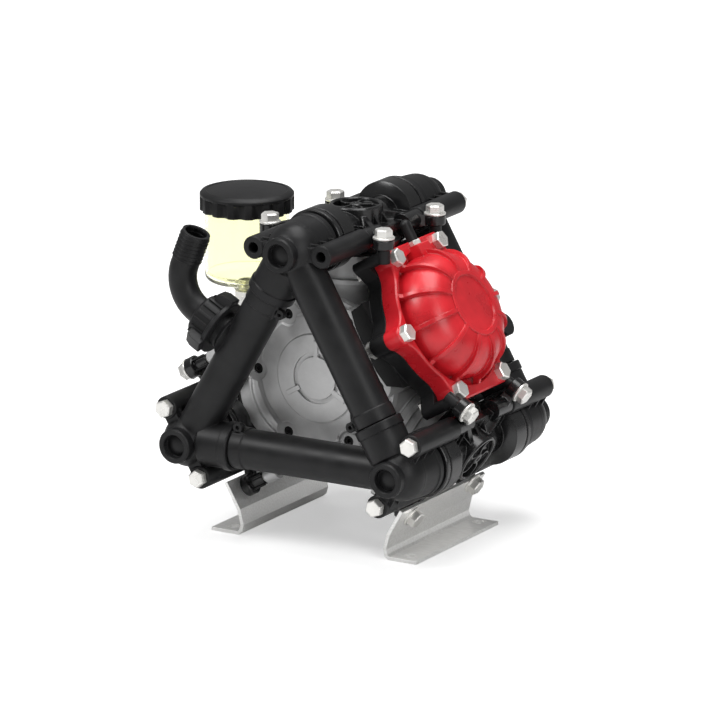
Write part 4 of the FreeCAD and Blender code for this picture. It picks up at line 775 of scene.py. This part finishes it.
def base_details():
    """The band, bolt bosses and front skirt of the black half of the air chamber."""
    form = Form(station(CHAMBER_SIDE))
    bottom = CHAMBER_BOTTOM
    inside = shrunk_flange(FLANGE_RADIUS * 0.1)
    form.loft([(inside, bottom), (shrunk_flange(0.4), bottom), (shrunk_flange(0), bottom + 0.5),
               (shrunk_flange(0), CHAMBER_SPLIT - 0.5), (shrunk_flange(0.4), CHAMBER_SPLIT - 0.1),
               (inside, CHAMBER_SPLIT - 0.1)], 360, is_tube=True)
    lying = Matrix.Rotation(math.radians(90), 4, "X")
    skirt = [(-38, bottom + 1), (-36, SKIRT_BOTTOM + 3), (-22, SKIRT_BOTTOM), (16, SKIRT_BOTTOM),
             (31, SKIRT_BOTTOM + 3), (38, bottom + 1)]
    form.prism(skirt, SKIRT_FACE - SKIRT_BACK, Matrix.Translation((0, -SKIRT_BACK, 0)) @ lying)
    for number in range(6):
        angle = 90 + 60 * number
        spot = Matrix.Rotation(math.radians(angle), 4, "Z") @ Matrix.Translation((CHAMBER_BOLTS, 0, 0))
        form.lathe([(6.8, bottom - 1.2), (8.2, bottom - 1.2), (8.4, bottom), (6.8, bottom)], spot, 40)
    return form


class PUMP_OT_air_chamber(bpy.types.Operator):
    """Build the red ribbed cover and the trim of the black base of the air chamber"""
    bl_idname = "pump.air_chamber"
    bl_label = "Air chamber"

    def execute(self, context):
        sizes = context.scene.pump_sizes
        cover_form(sizes).made("ribbed_air_chamber_cover", finish_of("red_plastic"),
                               instead_of=["air_chamber_cover"])
        base_details().made("air_chamber_base_trim", finish_of("black_plastic"))
        return {"FINISHED"}


# Oil tank and its cap

TANK_X = -104.6
TANK_RADIUS = 35.0
TANK_WALL = 2.5
TANK_BOTTOM = 56.0
TANK_TOP = 125.0
FUNNEL_BOTTOM = 48.0
NECK_RADIUS = 11.0
NECK_BORE = 7.1
CAP_RADIUS = 39.0
CAP_BOTTOM = 115.0
CAP_TOP = 132.0
SCALLOP_DEPTH = 2.8


def tank_place():
    return Matrix.Translation((TANK_X, 0, SHAFT_HEIGHT))


def tank_form():
    form = Form(tank_place())
    outer = [(NECK_BORE, FUNNEL_BOTTOM), (NECK_RADIUS, FUNNEL_BOTTOM), (NECK_RADIUS + 2, FUNNEL_BOTTOM + 4)]
    outer += [(NECK_RADIUS + 8, FUNNEL_BOTTOM + 6.2), (TANK_RADIUS - 8, TANK_BOTTOM - 0.8)]
    outer += arc((TANK_RADIUS - 6, TANK_BOTTOM + 5.6), 6, -80, 0, 8)
    outer += [(TANK_RADIUS, TANK_TOP)]
    inner = [(TANK_RADIUS - TANK_WALL, TANK_TOP), (TANK_RADIUS - TANK_WALL, TANK_BOTTOM + 7)]
    inner += arc((TANK_RADIUS - 7.5, TANK_BOTTOM + 7.5), 5, 0, -80, 8)
    inner += [(NECK_RADIUS + 8, FUNNEL_BOTTOM + 9.6), (NECK_BORE, FUNNEL_BOTTOM + 8)]
    form.lathe(outer + inner, None, 128)
    return form


def cap_form(sizes):
    """The cap, with hollows scalloped into its wall as one wavy outline."""
    form = Form(tank_place())

    def wall(shrink):
        def radius_at(angle):
            wave = max(0.0, 0.25 + 0.75 * math.cos(angle * sizes.cap_scallops))
            hollow = SCALLOP_DEPTH * wave ** 0.8
            return CAP_RADIUS + shrink - hollow
        return radius_at

    layers = [(wall(-1.0), CAP_BOTTOM), (wall(0.0), CAP_BOTTOM + 0.8),
              (wall(0.0), CAP_TOP - 4), (wall(-0.6), CAP_TOP - 2.6)]
    form.loft(layers, sizes.cap_scallops * 12)
    form.lathe([(0, CAP_TOP - 5), (CAP_RADIUS - 0.8, CAP_TOP - 5), (CAP_RADIUS, CAP_TOP - 4.2),
                (CAP_RADIUS, CAP_TOP - 2.4), (CAP_RADIUS - 1.6, CAP_TOP - 0.6),
                (CAP_RADIUS - 5, CAP_TOP + 0.4), (CAP_RADIUS - 6, CAP_TOP - 0.3),
                (CAP_RADIUS - 9, CAP_TOP + 0.2), (0, CAP_TOP + 2.4)], None, 128)
    return form


class PUMP_OT_oil_tank(bpy.types.Operator):
    """Build the clear oil tank with its funnel floor and the scalloped cap"""
    bl_idname = "pump.oil_tank"
    bl_label = "Oil tank"

    def execute(self, context):
        tank_form().made("clear_oil_tank", finish_of("clear_plastic"), instead_of=["oil_tank"], sharp=50)
        cap_form(context.scene.pump_sizes).made(
            "scalloped_tank_cap", finish_of("black_plastic"), "oil_tank_cap", ["oil_tank_cap"])
        return {"FINISHED"}


# Inlet

INLET_SEAT = 84.0
GASKET = 2.0
NUT_LENGTH = 22.0
NUT_RADIUS = 19.0
NUT_FLANGE = 24.0
NUT_BORE = 12.9
NUT_SEAT_BORE = 15.8
NUT_GRIPS = 18
NUT_LUG = 28.0
NUT_LUG_WIDTH = 11.6
BARB_RADIUS = 12.4
BARB_BORE = 9.4
BARB_COUNT = 7
BARB_STEP = 3.4
ELBOW_FLANGE = 15.0
BEND_RADIUS = 30.0
BEND_TURN = 82.0
BEND_START = 20.0
RUNNING_GAP = 0.05
BARB_LENGTH = 30.0


def inlet_place():
    return station(INLET_SIDE) @ Matrix.Translation((0, -MANIFOLD_PLANE, 0))


def nut_form():
    form = Form(inlet_place())
    bottom = INLET_SEAT - 4
    top = bottom + NUT_LENGTH
    form.lathe([(NUT_SEAT_BORE, bottom), (NUT_FLANGE - 0.6, bottom), (NUT_FLANGE, bottom + 0.6),
                (NUT_FLANGE, bottom + 3.4), (NUT_FLANGE - 0.8, bottom + 4), (NUT_RADIUS, bottom + 4),
                (NUT_RADIUS, top - 2), (NUT_RADIUS - 2, top), (NUT_BORE, top), (NUT_BORE, bottom + 10),
                (NUT_SEAT_BORE, bottom + 10)], None, 96)
    for number in range(NUT_GRIPS):
        turn = Matrix.Rotation(math.radians(360 / NUT_GRIPS * number), 4, "Z")
        form.block((NUT_RADIUS - 1, -1.1, bottom + 3), (NUT_RADIUS + 1.9, 1.1, top - 2.6), turn)
    lug = [(NUT_RADIUS - 2, bottom + 0.5), (NUT_LUG - 0.6, bottom + 0.5), (NUT_LUG, bottom + 1.2),
           (NUT_LUG, bottom + 10), (NUT_LUG - 2, bottom + 15.4), (NUT_RADIUS - 2, bottom + 16)]
    for number in range(3):
        upright_fin(form, lug, NUT_LUG_WIDTH, 120 * number)
    return form


def hose_path():
    """Points and directions along the elbow's centre line, in the inlet's frame."""
    start = INLET_SEAT + GASKET + RUNNING_GAP
    turn_start = INLET_SEAT + GASKET + BEND_START
    path = [(Vector((0, 0, start)), Vector((0, 0, 1)))]
    bend_steps = 16
    for number in range(bend_steps + 1):
        turn = math.radians(BEND_TURN * number / bend_steps)
        point = Vector((BEND_RADIUS * (1 - math.cos(turn)), 0, turn_start + BEND_RADIUS * math.sin(turn)))
        path.append((point, Vector((math.sin(turn), 0, math.cos(turn)))))
    end, direction = path[-1]
    path.append((end + direction * BARB_LENGTH, direction))
    return path


def swept(form, radius, path, steps=64):
    """A skin round a path in the XZ plane: rings of points joined end to end."""
    rings = []
    for point, direction in path:
        across = Vector((direction.z, 0, -direction.x))
        ring = []
        for step in range(steps):
            angle = 2 * math.pi * step / steps
            offset = across * math.cos(angle) * radius + Vector((0, 1, 0)) * math.sin(angle) * radius
            ring.append(form.mesh.verts.new(form.place @ (point + offset)))
        rings.append(ring)
    for low, high in zip(rings, rings[1:]):
        form.join_rings(low, high, steps)
    return rings


def elbow_form():
    form = Form(inlet_place())
    path = hose_path()
    outer = swept(form, BARB_RADIUS - 0.6, path)
    inner = swept(form, BARB_BORE, path)
    for ends in ((outer[0], inner[0]), (outer[-1], inner[-1])):
        form.join_rings(ends[0], ends[1], len(ends[0]))
    end, direction = path[-1]
    for number in range(BARB_COUNT):
        place = along(-direction, end - direction * (1.5 + BARB_STEP * number))
        form.lathe([(BARB_BORE, 0), (BARB_RADIUS - 0.5, 0), (BARB_RADIUS + 0.3, 2.4),
                    (BARB_RADIUS + 0.1, 2.7), (BARB_BORE, 2.7)], place, 64)
    start = path[0][0].z
    form.lathe([(BARB_BORE, start), (ELBOW_FLANGE, start), (ELBOW_FLANGE, start + 3.4),
                (BARB_BORE, start + 3.4)], None, 64)
    return form


class PUMP_OT_inlet(bpy.types.Operator):
    """Build the gripped ring nut and the barbed hose elbow"""
    bl_idname = "pump.inlet"
    bl_label = "Inlet"

    def execute(self, context):
        nut_form().made("gripped_ring_nut", finish_of("black_plastic"), "inlet_ring_nut", ["inlet_ring_nut"])
        elbow_form().made("barbed_hose_elbow", finish_of("black_plastic"), "inlet_elbow", ["inlet_elbow"])
        return {"FINISHED"}


# Bolts

HEX_FLATS = 13.0
HEX_HEIGHT = 6.5
SHANK_RADIUS = 4.0
WASHER_RADIUS = 9.0
WASHER_HEIGHT = 1.8
FOOT_SHEET = 3.0
HEAD_BOLT = 32.0
BRACKET_BOLT = 18.5
MANIFOLD_SHANK = 84.0


def hexagon(flats, turn=0.0):
    corner = flats / math.sqrt(3)
    angles = [math.radians(60 * number + turn) for number in range(6)]
    return [(corner * math.cos(angle), corner * math.sin(angle)) for angle in angles]


def hex_head(form, place, washer, turn=0.0):
    """A bolt's head with a chamfered top, over its washer."""
    base = 0.0
    if washer:
        form.lathe([(0, 0), (WASHER_RADIUS - 0.3, 0), (WASHER_RADIUS, 0.3),
                    (WASHER_RADIUS, WASHER_HEIGHT - 0.4), (WASHER_RADIUS - 0.4, WASHER_HEIGHT),
                    (0, WASHER_HEIGHT)], place, 40)
        base = WASHER_HEIGHT
    sides = HEX_HEIGHT - 0.9
    head = place @ Matrix.Translation((0, 0, base))
    form.prism(hexagon(HEX_FLATS, turn), sides, head)
    form.prism(hexagon(HEX_FLATS, turn), 0.9, head @ Matrix.Translation((0, 0, sides)), 0.87)


def shank(form, place, length):
    form.lathe([(0, -length), (SHANK_RADIUS - 0.6, -length), (SHANK_RADIUS, -length + 0.8),
                (SHANK_RADIUS, 0.5), (0, 0.5)], place, 24)


class PUMP_OT_bolts(bpy.types.Operator):
    """Build the plated bolts of the heads, the manifolds and the air chamber"""
    bl_idname = "pump.bolts"
    bl_label = "Bolts"

    def execute(self, context):
        steel = finish_of("zinc_steel")
        self.head_bolts().made("hex_head_bolts", steel, instead_of=["head_bolts"])
        self.manifold_bolts().made("hex_manifold_bolts", steel, instead_of=["manifold_bolts"])
        self.chamber_bolts().made("hex_air_chamber_bolts", steel, instead_of=["air_chamber_bolts"])
        return {"FINISHED"}

    def head_bolts(self):
        form = Form()
        outward = {"left": -1, "right": 1}
        for name, angle in STATIONS.items():
            for across, along_tube in head_bolt_places():
                lift = FOOT_SHEET if across * outward.get(name, 0) > 0 else 0.0
                short = beside_chamber(name, across)
                place = station(angle) @ Matrix.Translation((across, along_tube, BOLT_SEAT + lift))
                hex_head(form, place, True, 17 * across)
                shank(form, place, BRACKET_BOLT if short else HEAD_BOLT + lift)
        return form

    def manifold_bolts(self):
        form = Form()
        for name, angle in STATIONS.items():
            for side in (-1, 1):
                place = along((0, -1, 0), (side * MANIFOLD_BOLT, -BOSS_FACE, PORT_CIRCLE))
                mirrors = [TO_BACK] if name == "top" else [Matrix.Identity(4), TO_BACK]
                for mirror in mirrors:
                    hex_head(form, station(angle) @ mirror @ place, False, 20 * side)
                    shank(form, station(angle) @ mirror @ place, MANIFOLD_SHANK)
        return form

    def chamber_bolts(self):
        form = Form()
        for number in range(6):
            angle = math.radians(90 + 60 * number)
            spot = (CHAMBER_BOLTS * math.cos(angle), CHAMBER_BOLTS * math.sin(angle), CHAMBER_SEAT)
            place = station(CHAMBER_SIDE) @ Matrix.Translation(spot)
            hex_head(form, place, False, 25 * number)
            shank(form, place, CHAMBER_SEAT - CHAMBER_BOTTOM + HEX_HEIGHT)
        return form


# Valve springs

SPRING_LOW = 5.6
SPRING_HIGH = 10.15
SPRING_OUTSIDE = 7.4
SPRING_INSIDE = 4.2
SPRING_WALL = 1.6
SPRING_WAVES = 4
VALVE_SEATS = {"suction": -60.0, "delivery": 46.5}


def spring_form(place):
    """A short wave of thin cones between a valve's plate and its guide."""
    step = (SPRING_HIGH - SPRING_LOW) / SPRING_WAVES
    outline = []
    for number in range(SPRING_WAVES + 1):
        outline.append((SPRING_INSIDE if number % 2 else SPRING_OUTSIDE, SPRING_LOW + step * number))
    back = [(radius + SPRING_WALL, height) for radius, height in reversed(outline)]
    form = Form(place)
    form.lathe(outline + back, None, 48)
    return form


class PUMP_OT_valve_springs(bpy.types.Operator):
    """Build the six valve springs, one at each valve"""
    bl_idname = "pump.valve_springs"
    bl_label = "Valve springs"

    def execute(self, context):
        for side, seat in VALVE_SEATS.items():
            for name, angle in STATIONS.items():
                place = station(angle) @ along((0, 1, 0), (0, seat, PORT_CIRCLE))
                node = [side + "_valve_springs"] if name == "top" else []
                spring = spring_form(place).made(
                    f"{side}_valve_spring_{name}", finish_of("bearing_steel"), instead_of=node)
                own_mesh(spring)
        return {"FINISHED"}


# Crankcase trim

MOUTH_RADIUS = 35.0
MOUTH_RIBS = (66.0, 83.0)
COVER_FACE = 60.0
COVER_SCREWS = 57.4
PLATEAU_RADIUS = 54.5
PLATEAU_RISE = 2.4
PLATEAU_CHAMFER = 1.6
PLATEAU_MIDDLE = 36.0
SCREW_SEAT = 8.5


def plateau_radius(angle):
    """The raised field's outline: a round that is bitten back beside each of the six screws."""
    swing = math.radians(abs((math.degrees(angle) + 30) % 60 - 30))
    beside = COVER_SCREWS * math.sin(swing)
    if beside >= SCREW_SEAT:
        return PLATEAU_RADIUS
    return min(PLATEAU_RADIUS, COVER_SCREWS * math.cos(swing) - math.sqrt(SCREW_SEAT ** 2 - beside ** 2))


class PUMP_OT_crankcase_trim(bpy.types.Operator):
    """Build the ribs round the crankcase's lower mouths and the raised field of its cover"""
    bl_idname = "pump.crankcase_trim"
    bl_label = "Crankcase trim"

    def execute(self, context):
        cast = finish_of("cast_aluminium")
        self.mouth_ribs().made("crankcase_mouth_ribs", cast)
        self.plateau().made("cover_plateau", cast)
        return {"FINISHED"}

    def mouth_ribs(self):
        """Two ribs round each of the lower mouths."""
        form = Form()
        for name in ("left", "right"):
            for height in MOUTH_RIBS:
                ring = station(STATIONS[name]) @ Matrix.Translation((0, 0, height))
                form.lathe([(MOUTH_RADIUS - 1, 0), (MOUTH_RADIUS + 2.4, 0.6), (MOUTH_RADIUS + 2.4, 2.4),
                            (MOUTH_RADIUS - 1, 3.0)], ring, 96)
        return form

    def plateau(self):
        """The raised field between the cover's screws and its round middle."""
        form = Form(along((0, -1, 0), (0, -COVER_FACE, SHAFT_HEIGHT)))

        def middle(angle):
            return PLATEAU_MIDDLE

        def edge(angle):
            return plateau_radius(angle) - PLATEAU_CHAMFER

        form.loft([(middle, -0.5), (plateau_radius, -0.5), (plateau_radius, PLATEAU_RISE - PLATEAU_CHAMFER),
                   (edge, PLATEAU_RISE), (middle, PLATEAU_RISE)], 360, is_tube=True)
        return form


# Dressing and stage

FLOOR_SIZE = 28.0
LAMP_AIM = (0.0, 0.0, 0.17)


class PUMP_OT_finishes(bpy.types.Operator):
    """Give every CAD node its material and smooth shading"""
    bl_idname = "pump.finishes"
    bl_label = "Finishes"

    def execute(self, context):
        made = materials(context.scene.pump_colours)
        for entry in frame["record"]["subparts"]:
            node = NODES[entry["node"]]
            node.data.materials.clear()
            slot = "dark_steel" if entry["node"] == "cover_screws" else entry["material_slot"]
            node.data.materials.append(made[slot])
            shade(node, 32.0)
        return {"FINISHED"}


def floor_material():
    """A pale floor that shows white where no shadow falls on it, also through the clear tank."""
    material = new_material("studio_floor")
    tree = material.node_tree
    output = tree.nodes.new("ShaderNodeOutputMaterial")
    surface = tree.nodes.new("ShaderNodeBsdfDiffuse")
    surface.inputs["Color"].default_value = (0.82, 0.82, 0.82, 1)
    glow = tree.nodes.new("ShaderNodeEmission")
    tree.links.new(glow_by_distance(tree), glow.inputs["Strength"])
    both = tree.nodes.new("ShaderNodeAddShader")
    seen = tree.nodes.new("ShaderNodeMixShader")
    path = tree.nodes.new("ShaderNodeLightPath")
    looked_at = tree.nodes.new("ShaderNodeMath")
    looked_at.operation = "MAXIMUM"
    tree.links.new(path.outputs["Is Camera Ray"], looked_at.inputs[0])
    tree.links.new(path.outputs["Is Transmission Ray"], looked_at.inputs[1])
    tree.links.new(surface.outputs["BSDF"], both.inputs[0])
    tree.links.new(glow.outputs["Emission"], both.inputs[1])
    tree.links.new(looked_at.outputs["Value"], seen.inputs["Fac"])
    tree.links.new(surface.outputs["BSDF"], seen.inputs[1])
    tree.links.new(both.outputs["Shader"], seen.inputs[2])
    tree.links.new(seen.outputs["Shader"], output.inputs["Surface"])
    return material


def glow_by_distance(tree):
    """The floor's glow makes up for the lamps' light, which fades away from the pump."""
    coordinates = tree.nodes.new("ShaderNodeTexCoord")
    distance = tree.nodes.new("ShaderNodeVectorMath")
    distance.operation = "LENGTH"
    spread = tree.nodes.new("ShaderNodeMapRange")
    spread.inputs["From Min"].default_value = 0.3
    spread.inputs["From Max"].default_value = 2.2
    spread.inputs["To Min"].default_value = 0.42
    spread.inputs["To Max"].default_value = 0.75
    tree.links.new(coordinates.outputs["Object"], distance.inputs[0])
    tree.links.new(distance.outputs["Value"], spread.inputs["Value"])
    return spread.outputs["Result"]


def soft_lamp(name, place, size, power):
    """A rectangular lamp that looks at the middle of the pump."""
    lamp = bpy.data.lights.new(name, "AREA")
    lamp.shape = "RECTANGLE"
    lamp.size = size[0]
    lamp.size_y = size[1]
    lamp.energy = power
    holder = bpy.data.objects.new(name, lamp)
    holder.location = place
    holder.rotation_euler = (Vector(LAMP_AIM) - Vector(place)).to_track_quat("-Z", "Y").to_euler()
    bpy.context.scene.collection.objects.link(holder)


class PUMP_OT_stage(bpy.types.Operator):
    """Set up the pale floor, the soft lamps, the world and the camera"""
    bl_idname = "pump.stage"
    bl_label = "Stage"

    def execute(self, context):
        self.floor()
        soft_lamp("key_lamp", (-0.9, -1.4, 1.8), (0.9, 0.9), 30)
        soft_lamp("side_lamp", (1.6, -0.9, 0.9), (0.7, 1.4), 12)
        soft_lamp("top_lamp", (0.1, 0.1, 1.8), (1.6, 1.0), 28)
        self.world(context)
        self.camera(context)
        return {"FINISHED"}

    def floor(self):
        half = FLOOR_SIZE / 2
        corners = [(-half, -half, 0), (half, -half, 0), (half, half, 0), (-half, half, 0)]
        data = bpy.data.meshes.new("studio_floor")
        data.from_pydata(corners, [], [(0, 1, 2, 3)])
        floor = bpy.data.objects.new("studio_floor", data)
        data.materials.append(floor_material())
        bpy.context.scene.collection.objects.link(floor)

    def world(self, context):
        world = bpy.data.worlds.new("studio")
        world.use_nodes = True
        background = world.node_tree.nodes["Background"]
        background.inputs["Color"].default_value = (1, 1, 1, 1)
        background.inputs["Strength"].default_value = 0.27
        context.scene.world = world

    def camera(self, context):
        azimuth = math.radians(CAMERA_AZIMUTH)
        elevation = math.radians(CAMERA_ELEVATION)
        back = Vector((math.sin(azimuth) * math.cos(elevation), -math.cos(azimuth) * math.cos(elevation),
                       math.sin(elevation)))
        data = bpy.data.cameras.new("camera")
        data.sensor_width = SENSOR
        data.lens = LENS
        data.clip_end = 60.0
        camera = bpy.data.objects.new("camera", data)
        camera.location = CAMERA_TARGET + back * CAMERA_DISTANCE
        camera.rotation_euler = back.to_track_quat("Z", "Y").to_euler()
        context.scene.collection.objects.link(camera)
        context.scene.camera = camera
        context.scene.view_settings.view_transform = "Standard"


# Panel and registration

STEPS = [PUMP_OT_finishes, PUMP_OT_heads, PUMP_OT_manifolds, PUMP_OT_air_chamber, PUMP_OT_oil_tank,
         PUMP_OT_inlet, PUMP_OT_bolts, PUMP_OT_valve_springs, PUMP_OT_crankcase_trim, PUMP_OT_stage]


class PUMP_PT_panel(bpy.types.Panel):
    """The pump's settings and building steps"""
    bl_idname = "PUMP_PT_panel"
    bl_label = "Diaphragm pump"
    bl_space_type = "VIEW_3D"
    bl_region_type = "UI"
    bl_category = "Pump"

    def draw(self, context):
        for group in (context.scene.pump_sizes, context.scene.pump_colours):
            for name in group.bl_rna.properties.keys():
                if name not in ("rna_type", "name"):
                    self.layout.prop(group, name)
        for step in STEPS:
            self.layout.operator(step.bl_idname)


CLASSES = [PumpSizes, PumpColours, *STEPS, PUMP_PT_panel]


def register():
    for entry in CLASSES:
        bpy.utils.register_class(entry)
    bpy.types.Scene.pump_sizes = bpy.props.PointerProperty(type=PumpSizes)
    bpy.types.Scene.pump_colours = bpy.props.PointerProperty(type=PumpColours)


def unregister():
    del bpy.types.Scene.pump_colours
    del bpy.types.Scene.pump_sizes
    for entry in reversed(CLASSES):
        bpy.utils.unregister_class(entry)


def main():
    register()
    bpy.ops.pump.finishes()
    bpy.ops.pump.heads()
    bpy.ops.pump.manifolds()
    bpy.ops.pump.air_chamber()
    bpy.ops.pump.oil_tank()
    bpy.ops.pump.inlet()
    bpy.ops.pump.bolts()
    bpy.ops.pump.valve_springs()
    bpy.ops.pump.crankcase_trim()
    bpy.ops.pump.stage()


if __name__ == "__main__":
    main()
